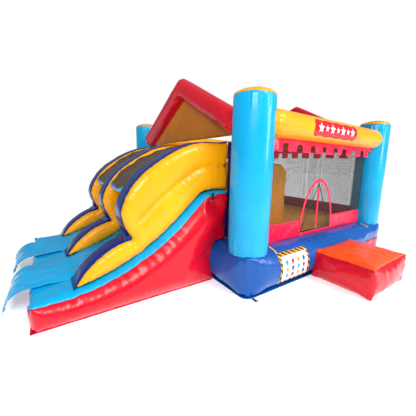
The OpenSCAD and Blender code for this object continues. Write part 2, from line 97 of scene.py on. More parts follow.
class NodeSketch:
    """A material's node tree, built a node at a time."""

    def __init__(self, name: str) -> None:
        """Makes an empty material.

        Args:
            name: the material's name.
        """
        self.material = bpy.data.materials.new(name)
        self.material.use_nodes = True
        self.tree = self.material.node_tree
        self.tree.nodes.clear()
        self.shader = self.add("ShaderNodeBsdfPrincipled")
        output = self.add("ShaderNodeOutputMaterial")
        self.link(self.shader.outputs[0], output.inputs[0])
        self.place = self.add("ShaderNodeTexCoord").outputs["Object"]

    def add(self, kind: str, **inputs: object) -> bpy.types.Node:
        """Adds a node.

        Args:
            kind: the node's type name.
            inputs: values by socket name, with _ for a space.

        Returns:
            The new node.
        """
        node = self.tree.nodes.new(kind)
        for key, value in inputs.items():
            node.inputs[key.replace("_", " ")].default_value = value
        return node

    def link(self, start: bpy.types.NodeSocket, end: bpy.types.NodeSocket) -> None:
        """Joins two sockets."""
        self.tree.links.new(start, end)

    def paint(self, colour: bpy.types.NodeSocket) -> None:
        """Makes a socket the shader's colour."""
        self.link(colour, self.shader.inputs["Base Color"])

    def set(self, **inputs: object) -> None:
        """Gives the shader plain values, by socket name with _ for a space."""
        for key, value in inputs.items():
            self.shader.inputs[key.replace("_", " ")].default_value = value

    def noise(self, scale: float, detail: float = 3.0, distortion: float = 0.0) -> bpy.types.NodeSocket:
        """Adds a noise texture on Object coordinates.

        Args:
            scale: noise cells per metre.
            detail: octaves.
            distortion: how much the cells swirl.

        Returns:
            The factor socket.
        """
        node = self.add("ShaderNodeTexNoise", Scale=scale, Detail=detail, Distortion=distortion)
        self.link(self.place, node.inputs["Vector"])
        return node.outputs[0]

    def span(self, source: bpy.types.NodeSocket, low: float, high: float) -> bpy.types.NodeSocket:
        """Maps a 0 to 1 value to a range.

        Args:
            source: the value.
            low: result at 0.3.
            high: result at 0.7.

        Returns:
            The mapped value's socket.
        """
        node = self.add("ShaderNodeMapRange", From_Min=0.3, From_Max=0.7, To_Min=low, To_Max=high)
        self.link(source, node.inputs["Value"])
        return node.outputs["Result"]

    def tint(self, source: bpy.types.NodeSocket, first: tuple, second: tuple) -> bpy.types.NodeSocket:
        """Mixes two colours.

        Args:
            source: the mix, from 0 to 1.
            first: colour at 0.
            second: colour at 1.

        Returns:
            The colour socket.
        """
        node = self.tree.nodes.new("ShaderNodeMix")
        node.data_type = "RGBA"
        node.inputs[6].default_value = first
        node.inputs[7].default_value = second
        self.link(source, node.inputs[0])
        return node.outputs[2]

    def bump(self, layers: list[tuple[bpy.types.NodeSocket, float, float]]) -> None:
        """Chains bump layers into the shader's normal.

        Args:
            layers: height socket, strength and distance in metres of each layer, coarse to fine.
        """
        last = None
        for height, strength, distance in layers:
            node = self.add("ShaderNodeBump", Strength=strength, Distance=distance)
            self.link(height, node.inputs["Height"])
            if last:
                self.link(last, node.inputs["Normal"])
            last = node.outputs[0]
        self.link(last, self.shader.inputs["Normal"])


def scaled(colour: tuple, by: float) -> tuple[float, float, float, float]:
    """A linear colour made lighter or darker."""
    return (*[min(1.0, c * by) for c in colour[:3]], 1.0)


@dataclass(frozen=True)
class Vinyl:
    """Glossy coated fabric with soft dents, fine creases and a scrim that shows through the coating."""

    name: str
    shade: Shade
    roughness: float = 0.27
    dents: float = 0.14
    coat: float = 0.22

    def material(self) -> bpy.types.Material:
        """Builds the node material."""
        sketch = NodeSketch(self.name)
        colour = self.shade.linear
        patchy = sketch.span(sketch.noise(1.7, 2.0), 0.0, 1.0)
        sketch.paint(sketch.tint(patchy, scaled(colour, 0.88), scaled(colour, 1.06)))
        rub = sketch.span(sketch.noise(5.0, 4.0), self.roughness - 0.05, self.roughness + 0.09)
        sketch.link(rub, sketch.shader.inputs["Roughness"])
        sketch.set(Coat_Weight=self.coat, Specular_IOR_Level=0.26, Coat_Roughness=0.12)
        sketch.bump([
            (sketch.noise(5.5, 1.0, 0.7), self.dents, 0.02),
            (sketch.noise(22.0, 2.0, 1.2), self.dents * 0.3, 0.004),
            (sketch.noise(420.0, 1.0), 0.08, 0.0006),
        ])
        return sketch.material


@dataclass(frozen=True)
class Webbing:
    """Woven strap or net yarn with a ribbed, dull surface."""

    name: str
    shade: Shade
    ribs: float = 260.0
    roughness: float = 0.72

    def material(self) -> bpy.types.Material:
        """Builds the node material."""
        sketch = NodeSketch(self.name)
        colour = self.shade.linear
        fuzz = sketch.span(sketch.noise(90.0, 3.0), 0.0, 1.0)
        sketch.paint(sketch.tint(fuzz, scaled(colour, 0.7), scaled(colour, 1.25)))
        sketch.set(Roughness=self.roughness, Sheen_Weight=0.15)
        wave = sketch.add("ShaderNodeTexWave", Scale=self.ribs, Distortion=0.4)
        wave.bands_direction = "DIAGONAL"
        sketch.link(sketch.place, wave.inputs["Vector"])
        sketch.bump([(wave.outputs[1], 0.5, 0.0008)])
        return sketch.material


@dataclass(frozen=True)
class Steel:
    """Plated wire with a fine brushed grain."""

    name: str
    shade: Shade

    def material(self) -> bpy.types.Material:
        """Builds the node material."""
        sketch = NodeSketch(self.name)
        colour = self.shade.linear
        grain = sketch.noise(310.0, 4.0, 0.5)
        sketch.paint(sketch.tint(grain, scaled(colour, 0.75), colour))
        sketch.link(sketch.span(grain, 0.24, 0.42), sketch.shader.inputs["Roughness"])
        sketch.set(Metallic=1.0)
        sketch.bump([(grain, 0.2, 0.0003)])
        return sketch.material


@dataclass(frozen=True)
class Hatched:
    """Slanting stripes of two colours, for a notice patch's border."""

    name: str
    first: Shade
    second: Shade
    pitch: float = 0.045

    def material(self) -> bpy.types.Material:
        """Builds the node material."""
        sketch = NodeSketch(self.name)
        wave = sketch.add("ShaderNodeTexWave", Scale=0.3142 / self.pitch)
        wave.bands_direction = "DIAGONAL"
        sketch.link(sketch.place, wave.inputs["Vector"])
        step = sketch.add("ShaderNodeMapRange", From_Min=0.48, From_Max=0.52)
        sketch.link(wave.outputs[1], step.inputs["Value"])
        sketch.paint(sketch.tint(step.outputs[0], self.first.linear, self.second.linear))
        sketch.set(Roughness=0.4)
        sketch.bump([(sketch.noise(300.0), 0.1, 0.0005)])
        return sketch.material


class Palette:
    """Every finish, made once."""

    def __init__(self) -> None:
        """Builds all the materials."""
        self.sky = Vinyl("sky_vinyl", Shade.SKY).material()
        self.royal = Vinyl("royal_vinyl", Shade.ROYAL, 0.3).material()
        self.yellow = Vinyl("yellow_vinyl", Shade.YELLOW, 0.3).material()
        self.red = Vinyl("red_vinyl", Shade.RED, 0.26).material()
        self.trim = Vinyl("trim_vinyl", Shade.TRIM, 0.34, 0.4).material()
        self.orange = Vinyl("orange_vinyl", Shade.ORANGE, 0.32, 0.3).material()
        self.navy = Vinyl("navy_vinyl", Shade.NAVY, 0.3).material()
        # The gable's finish is the yellow vinyl darkened by painted shade.
        self.gable = Vinyl("gable_painted_shade_vinyl", Shade.GABLE_SHADED, 0.5, 0.35, 0.1).material()
        self.white = Vinyl("white_vinyl", Shade.WHITE, 0.4, 0.2, 0.1).material()
        self.baffle = Vinyl("baffle_vinyl", Shade.BAFFLE, 0.6, 0.1, 0.0).material()
        self.black = Webbing("black_webbing", Shade.BLACK).material()
        self.strap = Webbing("yellow_webbing", Shade.STRAP).material()
        self.net = Webbing("net_yarn", Shade.NET, 600.0, 0.6).material()
        self.lane_net = Webbing("lane_net_yarn", Shade.LANE_NET, 600.0, 0.6).material()
        self.zip = Vinyl("zip_tape", Shade.BLACK, 0.5, 0.1, 0.0).material()
        self.steel = Steel("plated_steel", Shade.STEEL).material()
        self.hatched = Hatched("hatched_border", Shade.YELLOW, Shade.BLACK).material()


# ---------------------------------------------------------------- mesh work
def new_piece(name: str, bm: bmesh.types.BMesh, material: bpy.types.Material) -> bpy.types.Object:
    """Turns a bmesh into a smooth-shaded object at the origin.

    Args:
        name: the object's name.
        bm: its mesh, which is freed.
        material: its finish.

    Returns:
        The new object.
    """
    mesh = bpy.data.meshes.new(name)
    bm.to_mesh(mesh)
    bm.free()
    mesh.materials.append(material)
    mesh.polygons.foreach_set("use_smooth", [True] * len(mesh.polygons))
    piece = bpy.data.objects.new(name, mesh)
    bpy.context.scene.collection.objects.link(piece)
    return piece


def bake_modifiers(piece: bpy.types.Object) -> None:
    """Replaces a piece's mesh by its evaluated one, and removes its modifiers."""
    graph = bpy.context.evaluated_depsgraph_get()
    mesh = bpy.data.meshes.new_from_object(piece.evaluated_get(graph))
    mesh.name = piece.name
    piece.modifiers.clear()
    piece.data = mesh


def thicken(piece: bpy.types.Object, thickness: float, offset: float = 0.0) -> None:
    """Gives an open sheet a thickness.

    Args:
        piece: the sheet.
        thickness: in metres.
        offset: 1 outside the sheet, -1 inside, 0 both ways.
    """
    solid = piece.modifiers.new("Thickness", "SOLIDIFY")
    solid.thickness = thickness
    solid.offset = offset
    bake_modifiers(piece)


def subdivide(piece: bpy.types.Object, levels: int = 1) -> None:
    """Subdivides and rounds a piece."""
    smooth = piece.modifiers.new("Subdivision", "SUBSURF")
    smooth.levels = smooth.render_levels = levels
    bake_modifiers(piece)


def coordinates(piece: bpy.types.Object) -> np.ndarray:
    """A piece's vertices as an array of rows."""
    flat = np.zeros(len(piece.data.vertices) * 3, np.float32)
    piece.data.vertices.foreach_get("co", flat)
    return flat.reshape(-1, 3).astype(float)


def place_vertices(piece: bpy.types.Object, points: np.ndarray) -> None:
    """Writes a piece's vertices."""
    piece.data.vertices.foreach_set("co", points.astype(np.float32).ravel())
    piece.data.update()


def keep_above(piece: bpy.types.Object, floor: float = GROUND) -> None:
    """Lifts every vertex that is under a height up to it."""
    points = coordinates(piece)
    points[:, 2] = np.maximum(points[:, 2], floor)
    place_vertices(piece, points)


def extent(bm: bmesh.types.BMesh, axis: int) -> tuple[float, float]:
    """The lowest and highest places of a mesh along an axis."""
    places = [v.co[axis] for v in bm.verts]
    return min(places), max(places)


def quads(bm: bmesh.types.BMesh, rows: list[list[bmesh.types.BMVert]], closed: bool = False,
          turned: bool = False) -> None:
    """Joins rows of vertices by faces.

    Args:
        bm: the mesh.
        rows: rows of the same length.
        closed: joins each row's end to its start.
        turned: makes the faces look the other way.
    """
    for a, b in zip(rows, rows[1:]):
        for i in range(len(a) if closed else len(a) - 1):
            j = (i + 1) % len(a)
            bm.faces.new((a[i], b[i], b[j], a[j]) if turned else (a[i], a[j], b[j], b[i]))


def normals(piece: bpy.types.Object) -> np.ndarray:
    """A piece's vertex normals as an array of rows."""
    flat = np.zeros(len(piece.data.vertices) * 3, np.float32)
    piece.data.vertex_normals.foreach_get("vector", flat)
    return flat.reshape(-1, 3).astype(float)


def cad_copy(node: str) -> bmesh.types.BMesh:
    """A merged copy of a CAD node's mesh."""
    bm = bmesh.new()
    bm.from_mesh(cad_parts[node].data)
    bmesh.ops.remove_doubles(bm, verts=bm.verts, dist=2e-5)
    return bm


def islands(bm: bmesh.types.BMesh) -> list[list[bmesh.types.BMFace]]:
    """The mesh's separate surfaces, as lists of faces."""
    seen: set[int] = set()
    found = []
    bm.faces.ensure_lookup_table()
    for first in bm.faces:
        if first.index in seen:
            continue
        group, queue = [], [first]
        seen.add(first.index)
        while queue:
            face = queue.pop()
            group.append(face)
            for edge in face.edges:
                for other in edge.link_faces:
                    if other.index not in seen:
                        seen.add(other.index)
                        queue.append(other)
        found.append(group)
    return found


def outer_shell(nodes: list[str]) -> bmesh.types.BMesh:
    """The outer surfaces of CAD chambers, without the walls of their air spaces.

    Args:
        nodes: the CAD nodes, joined in one mesh.

    Returns:
        The outer shells.
    """
    whole = bmesh.new()
    for node in nodes:
        part = cad_copy(node)
        part.faces.index_update()
        inner = []
        for group in islands(part):
            volume = 0.0
            for face in group:
                a, b, c = [v.co for v in face.verts][:3]
                volume += a.dot(b.cross(c))
            if volume < 0:
                inner.extend(group)
        bmesh.ops.delete(part, geom=inner, context="FACES")
        mesh = bpy.data.meshes.new("shell")
        part.to_mesh(mesh)
        part.free()
        whole.from_mesh(mesh)
        bpy.data.meshes.remove(mesh)
    return whole


def rounded_block(low: Vector, high: Vector, radius: float) -> bmesh.types.BMesh:
    """An upright block with rounded vertical corners.

    Args:
        low: its lowest corner.
        high: its highest corner.
        radius: of the vertical corners.

    Returns:
        The closed block.
    """
    bm = bmesh.new()
    ring = []
    corners = [(high.x - radius, high.y - radius, 0), (low.x + radius, high.y - radius, 90),
               (low.x + radius, low.y + radius, 180), (high.x - radius, low.y + radius, 270)]
    for x, y, start in corners:
        for i in range(7):
            angle = math.radians(start + 15 * i)
            ring.append((x + radius * math.cos(angle), y + radius * math.sin(angle)))
    bottom = [bm.verts.new((x, y, low.z)) for x, y in ring]
    top = [bm.verts.new((x, y, high.z)) for x, y in ring]
    bm.faces.new(list(reversed(bottom)))
    bm.faces.new(top)
    for i in range(len(ring)):
        j = (i + 1) % len(ring)
        bm.faces.new((bottom[i], bottom[j], top[j], top[i]))
    return bm


def pillow_block(low: Vector, high: Vector, cuts: int, bulge: float, pinch: float) -> bmesh.types.BMesh:
    """A sewn block whose panels bulge and whose edges draw in between its corners.

    Args:
        low: its lowest corner.
        high: its highest corner.
        cuts: divisions of each edge.
        bulge: how far each panel's middle comes out.
        pinch: how far each edge's middle is drawn in.

    Returns:
        The block, with material index 1 on its top panel.
    """
    bm = bmesh.new()
    bmesh.ops.create_cube(bm, size=2.0)
    bmesh.ops.subdivide_edges(bm, edges=bm.edges[:], cuts=cuts, use_grid_fill=True)
    for face in bm.faces:
        face.material_index = 1 if face.normal.z > 0.9 else 0
    centre, half = (low + high) / 2, (high - low) / 2
    for vertex in bm.verts:
        unit = vertex.co.copy()
        for k in range(3):
            v, w = unit[(k + 1) % 3], unit[(k + 2) % 3]
            gain = bulge * (1 - v * v) * (1 - w * w) - pinch * ((1 - v * v) * w**8 + (1 - w * w) * v**8)
            vertex.co[k] = centre[k] + half[k] * unit[k] + math.copysign(unit[k] ** 2, unit[k]) * gain
    return bm


def slab(outline: Outline, y0: float, y1: float) -> bmesh.types.BMesh:
    """An outline in x and z, extruded from y0 to y1.

    Args:
        outline: the closed outline.
        y0: the near face.
        y1: the far face.

    Returns:
        The closed shape.
    """
    bm = bmesh.new()
    near = [bm.verts.new((x, y0, z)) for x, z in outline]
    far = [bm.verts.new((x, y1, z)) for x, z in outline]
    bm.faces.new(near)
    bm.faces.new(list(reversed(far)))
    for i in range(len(outline)):
        j = (i + 1) % len(outline)
        bm.faces.new((near[i], far[i], far[j], near[j]))
    bmesh.ops.recalc_face_normals(bm, faces=bm.faces)
    return bm


def rounded_line(points: Outline, passes: int = 3) -> Outline:
    """An open line with its corners cut, pass after pass, and its ends kept."""
    line = list(points)
    for _ in range(passes):
        cut = [line[0]]
        for (ax, az), (bx, bz) in zip(line, line[1:]):
            cut += [(k * ax + (1 - k) * bx, k * az + (1 - k) * bz) for k in (0.75, 0.25)]
        line = cut + [line[-1]]
    return line


def even_line(points: Outline, step: float) -> np.ndarray:
    """A line's points spread evenly.

    Args:
        points: the line.
        step: distance between the new points.

    Returns:
        Rows of x and z.
    """
    rows = np.array(points)
    lengths = np.concatenate([[0.0], np.cumsum(np.linalg.norm(np.diff(rows, axis=0), axis=1))])
    spots = np.linspace(0, lengths[-1], max(2, round(lengths[-1] / step)) + 1)
    return np.stack([np.interp(spots, lengths, rows[:, k]) for k in range(2)], axis=1)


def ribbon(name: str, rows: list[list[Vector]], directions: list[Vector], shell: bpy.types.Object | None,
           material: bpy.types.Material, lift: float = 0.004, thick: float = 0.0025) -> bpy.types.Object:
    """A strip of fabric laid on a chamber, with straight sewn edges.

    Args:
        name: the piece's name.
        rows: its points, a row across it for each place along it.
        directions: the way each row is pressed.
        shell: the chamber that it lies on.
        material: its finish.
        lift: how far it stands off.
        thick: its thickness.

    Returns:
        The strip.
    """
    under = BVHTree.FromObject(shell, bpy.context.evaluated_depsgraph_get()) if shell else None
    bm = bmesh.new()
    grid = []
    for row, direction in zip(rows, directions):
        made = []
        for point in row:
            hit = under.ray_cast(point - direction * 0.14, direction, 0.28)[0] if under else None
            made.append(bm.verts.new((hit or point) - direction * lift))
        grid.append(made)
    quads(bm, grid)
    bm.normal_update()
    turned = sum(face.normal.dot(directions[0]) for face in list(bm.faces)[:len(rows[0]) - 1]) > 0
    if turned:
        bmesh.ops.reverse_faces(bm, faces=bm.faces)
    piece = new_piece(name, bm, material)
    thicken(piece, thick, 1.0)
    return piece


def lathe(profile: Outline, segments: int = 112) -> bmesh.types.BMesh:
    """Turns a profile about Z.

    Args:
        profile: radius and height pairs from the lower pole to the upper one.
        segments: faces round it.

    Returns:
        The closed shape.
    """
    bm = bmesh.new()
    rings = []
    angles = [2 * math.pi * i / segments for i in range(segments)]
    for radius, z in profile:
        if radius < 1e-6:
            rings.append([bm.verts.new((0, 0, z))])
            continue
        rings.append([bm.verts.new((radius * math.cos(a), radius * math.sin(a), z)) for a in angles])
    for lower, upper in zip(rings, rings[1:]):
        for i in range(segments):
            j = (i + 1) % segments
            corners = [lower[i % len(lower)], lower[j % len(lower)],
                       upper[j % len(upper)], upper[i % len(upper)]]
            bm.faces.new(list(dict.fromkeys(corners)))
    bmesh.ops.recalc_face_normals(bm, faces=bm.faces)
    return bm


def rounded_profile(radius: float, low: float, high: float, pinch: float, rings: int) -> Outline:
    """A cylinder's profile with rounded ends.

    Args:
        radius: of the cylinder.
        low: height of the lower end.
        high: height of the upper end.
        pinch: rounding of each end.
        rings: rows along the straight part.

    Returns:
        Radius and height pairs, pole to pole.
    """
    arc = [math.radians(a) for a in range(0, 91, 15)]
    start = [(radius - pinch + pinch * math.sin(a), low + pinch - pinch * math.cos(a)) for a in arc]
    end = [(radius - pinch + pinch * math.cos(a), high - pinch + pinch * math.sin(a)) for a in arc]
    straight = [(radius, low + pinch + (high - low - 2 * pinch) * i / rings) for i in range(1, rings)]
    inner = [(radius - pinch) * k for k in (0.0, 0.35, 0.7)] if radius > pinch + 1e-6 else []
    return [(r, low) for r in inner] + start + straight + end + [(r, high) for r in reversed(inner)]


def sharp_seams(bm: bmesh.types.BMesh, angle: float = 32.0, step: float = 0.012) -> list[Vector]:
    """Points along a shell's sharp edges, where its panels are sewn.

    Args:
        bm: the shell.
        angle: smallest turn between panels, in degrees.
        step: distance between points.

    Returns:
        The points.
    """
    points = []
    for edge in bm.edges:
        if len(edge.link_faces) == 2 and edge.calc_face_angle(0) > math.radians(angle):
            a, b = edge.verts[0].co, edge.verts[1].co
            count = max(1, int((b - a).length / step))
            points.extend(a.lerp(b, i / count) for i in range(count + 1))
    return points


def ring_points(centre: Vector, axis: int, radius: float, count: int = 360) -> list[Vector]:
    """Points round a circle.

    Args:
        centre: of the circle.
        axis: 0, 1 or 2 for a circle about X, Y or Z.
        radius: of the circle.
        count: how many points.

    Returns:
        The points.
    """
    first, second = [k for k in range(3) if k != axis]
    points = []
    for i in range(count):
        point = centre.copy()
        point[first] += radius * math.cos(2 * math.pi * i / count)
        point[second] += radius * math.sin(2 * math.pi * i / count)
        points.append(point)
    return points


@dataclass(frozen=True)
class Pucker:
    """Wrinkles that run away from a sewn seam, and the groove that the stitching pulls in."""

    depth: float = 0.010
    pitch: float = 0.045
    reach: float = 0.07
    groove: float = 0.012
    groove_width: float = 0.022

    def apply(self, piece: bpy.types.Object, seams: list[Vector], seed: float = 0.0) -> None:
        """Moves the piece's vertices along their normals.

        Args:
            piece: the piece.
            seams: points along its seams.
            seed: shifts the wrinkles.
        """
        if not seams:
            return
        tree = KDTree(len(seams))
        for i, point in enumerate(seams):
            tree.insert(point, i)
        tree.balance()
        points, directions = coordinates(piece), normals(piece)
        shift = np.zeros(len(points))
        offset = Vector((seed, seed * 1.7, seed * 0.6))
        for i, point in enumerate(points):
            near, _, distance = tree.find(point)
            if distance > 4.5 * self.reach:
                continue
            ripple = noise.noise(near / self.pitch + offset)
            broad = noise.noise(near / (self.pitch * 3.1) - offset)
            share = distance / self.reach
            swell = share * math.exp(1 - share)
            shift[i] = self.depth * swell * (ripple + 0.7 * broad)
            shift[i] -= self.groove * math.exp(-((distance / self.groove_width) ** 2))
        place_vertices(piece, points + directions * shift[:, None])


def calm(points: np.ndarray, fittings: tuple[str, ...]) -> np.ndarray:
    """How free each point is to move, from 0 beside a sewn-on fitting to 1 away from them all.

    Args:
        points: rows of x, y and z.
        fittings: the fittings' CAD nodes.

    Returns:
        A column of shares.
    """
    share = np.ones(len(points))
    for node in fittings:
        low, high = (np.array(corner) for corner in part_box(node))
        gap = np.linalg.norm(np.maximum(np.maximum(low - points, points - high), 0), axis=1)
        share = np.minimum(share, np.clip((gap - 0.02) / 0.16, 0, 1))
    return share[:, None]


@dataclass(frozen=True)
class Crown:
    """The round section of a tube between two lines of stitching."""

    height: float
    reach: float

    def apply(self, piece: bpy.types.Object, seams: list[Vector], axis: int,
              fittings: tuple[str, ...] = ()) -> None:
        """Moves the faces that look along an axis out, more the farther they are from a seam.

        Args:
            piece: the piece.
            seams: points along its seams.
            axis: 0, 1 or 2 for the way the crowned panels look.
            fittings: CAD nodes that are sewn on, round which the fabric stays.
        """
        tree = KDTree(len(seams))
        for i, point in enumerate(seams):
            tree.insert(point, i)
        tree.balance()
        points, directions = coordinates(piece), normals(piece)
        share = np.array([min(1.0, tree.find(p)[2] / self.reach) for p in points])
        section = np.sqrt(np.maximum(0, 1 - (1 - share) ** 2))
        rise = self.height * section * np.abs(directions[:, axis]) ** 1.5
        points[:, axis] += np.sign(directions[:, axis]) * rise * calm(points, fittings)[:, 0]
        place_vertices(piece, points)


@dataclass(frozen=True)
class Inflation:
    """Blows a sewn shape up by cloth simulation, so that its panels crown between the seams."""

    voxel: float = 0.03
    pressure: float = 4.0
    swell: float = 0.03
    frames: int = 18
    smoothing: int = 3

    def apply(self, piece: bpy.types.Object, pinned: Callable[[np.ndarray], np.ndarray] | None = None,
              fittings: tuple[str, ...] = ()) -> None:
        """Remeshes, inflates and subdivides the piece.

        Args:
            piece: a closed shape.
            pinned: gives a True for each vertex that inner baffles hold, from all the vertices.
            fittings: CAD nodes that are sewn on, round which the fabric stays where the CAD has it.
        """
        if self.voxel:
            remesh = piece.modifiers.new("Remesh", "REMESH")
            remesh.mode = "VOXEL"
            remesh.voxel_size = self.voxel
            relax = piece.modifiers.new("Relax", "SMOOTH")
            relax.iterations = self.smoothing
            bake_modifiers(piece)
        start = coordinates(piece)
        self._simulate(piece, start, pinned)
        moved = coordinates(piece) - start
        place_vertices(piece, start + moved * calm(start, fittings))
        subdivide(piece)
        piece.data.polygons.foreach_set("use_smooth", [True] * len(piece.data.polygons))

    def _simulate(self, piece: bpy.types.Object, start: np.ndarray,
                  pinned: Callable[[np.ndarray], np.ndarray] | None) -> None:
        """Runs the cloth and keeps its result, with each point's travel capped.

        Args:
            piece: the remeshed piece.
            start: its vertices before the air.
            pinned: as in apply.
        """
        cloth = piece.modifiers.new("Air", "CLOTH")
        settings = cloth.settings
        settings.quality = 4
        settings.mass = 0.3
        settings.tension_stiffness = settings.compression_stiffness = 12
        settings.shear_stiffness = 5
        settings.bending_stiffness = 0.4
        settings.use_pressure = True
        settings.uniform_pressure_force = self.pressure
        settings.effector_weights.gravity = 0
        cloth.collision_settings.use_collision = False
        cloth.point_cache.frame_start = 1
        cloth.point_cache.frame_end = self.frames
        if pinned is not None:
            group = piece.vertex_groups.new(name="held")
            group.add([int(i) for i in np.nonzero(pinned(start))[0]], 1.0, "REPLACE")
            settings.vertex_group_mass = "held"
        for step in range(1, self.frames + 1):
            bpy.context.scene.frame_set(step)
        bake_modifiers(piece)
        piece.vertex_groups.clear()
        moved = coordinates(piece) - start
        length = np.linalg.norm(moved, axis=1)
        moved *= (np.minimum(length, self.swell) / np.maximum(length, 1e-9))[:, None]
        place_vertices(piece, start + moved)
        bpy.context.scene.frame_set(1)


def skin_over(source: bpy.types.Object, name: str, material: bpy.types.Material,
              keep: Callable[[bmesh.types.BMFace], bool], lift: float = 0.002,
              thick: float = 0.002) -> bpy.types.Object:
    """A panel of another colour that covers part of a chamber.

    Args:
        source: the chamber.
        name: the panel's name.
        material: its finish.
        keep: True for the faces it covers.
        lift: how far it stands off the chamber.
        thick: its thickness.

    Returns:
        The panel.
    """
    bm = bmesh.new()
    bm.from_mesh(source.data)
    bmesh.ops.delete(bm, geom=[f for f in bm.faces if not keep(f)], context="FACES")
    for face in bm.faces:
        face.material_index = 0
    bm.normal_update()
    for vertex in bm.verts:
        vertex.co += vertex.normal * lift
    panel = new_piece(name, bm, material)
    thicken(panel, thick, 1.0)
    return panel


def flat_side(node: str, direction: Vector) -> list[bmesh.types.BMesh]:
    """The flat faces of a CAD node that look one way, one mesh for each separate panel.

    Args:
        node: the CAD node.
        direction: a unit vector.

    Returns:
        The panels, each dissolved to as few faces as its outline allows.
    """
    bm = cad_copy(node)
    bmesh.ops.delete(bm, geom=[f for f in bm.faces if f.normal.dot(direction) < 0.9], context="FACES")
    bm.faces.index_update()
    panels = []
    for group in islands(bm):
        panel = bmesh.new()
        made = {v: panel.verts.new(v.co) for v in {v for f in group for v in f.verts}}
        for face in group:
            panel.faces.new([made[v] for v in face.verts])
        bmesh.ops.dissolve_limit(panel, angle_limit=0.01, verts=panel.verts, edges=panel.edges)
        panels.append(panel)
    bm.free()

    def middle(panel: bmesh.types.BMesh) -> tuple[float, ...]:
        """The mean place of a panel's vertices, rounded, to sort by."""
        return tuple(round(sum(v.co[k] for v in panel.verts) / len(panel.verts), 4) for k in range(3))

    return sorted(panels, key=middle)


def grid_cut(bm: bmesh.types.BMesh, spacing: float, skip: int) -> None:
    """Cuts a flat mesh into squares.

    Args:
        bm: the mesh.
        spacing: side of a square.
        skip: 0, 1 or 2 for the axis that the mesh is square to.
    """
    for axis in (k for k in range(3) if k != skip):
        low, high = extent(bm, axis)
        count = int((high - low) / spacing)
        for i in range(1, count + 1):
            place, direction = Vector((0, 0, 0)), Vector((0, 0, 0))
            place[axis] = low + i * spacing * (high - low) / ((count + 1) * spacing)
            direction[axis] = 1
            geometry = bm.verts[:] + bm.edges[:] + bm.faces[:]
            bmesh.ops.bisect_plane(bm, geom=geometry, plane_co=place, plane_no=direction, dist=1e-5)


def settle(piece: bpy.types.Object, body: str, slot: str, *nodes: str) -> bpy.types.Object:
    """Puts a finished piece on its body and logs it.

    Args:
        piece: the piece.
        body: the body it rides on.
        slot: the record's material slot; not used.
        nodes: the CAD nodes it stands for.

    Returns:
        The piece.
    """
    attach(piece, body)
    if nodes:
        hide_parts(*nodes)
    LOG.info("%s: %d faces on %s", piece.name, len(piece.data.polygons), body)
    return piece


# ---------------------------------------------------------------- the frame's measures
class Plan:
    """Sizes and places that several sub-assemblies share, all read from the frame."""

    def __init__(self) -> None:
        """Reads the frame's boxes."""
        self.base_low, self.base_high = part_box("base")
        self.pillars = {name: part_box(f"pillar_{name}")
                        for name in ("front_left", "front_right", "rear_left", "rear_right")}
        low, high = self.pillars["front_left"]
        self.pillar_r = (high.x - low.x) / 2
        self.pillar_top = high.z
        self.origin = Vector(((low.x + high.x) / 2, (low.y + high.y) / 2, 0))
        far_low, far_high = self.pillars["rear_right"]
        self.span = Vector(((far_low.x + far_high.x) / 2, (far_low.y + far_high.y) / 2, 0)) - self.origin
        self.base_top = self.base_high.z

    def at(self, x: float, y: float, z: float) -> Vector:
        """A point measured from the front left pillar's axis on the ground."""
        return self.origin + Vector((x, y, z))


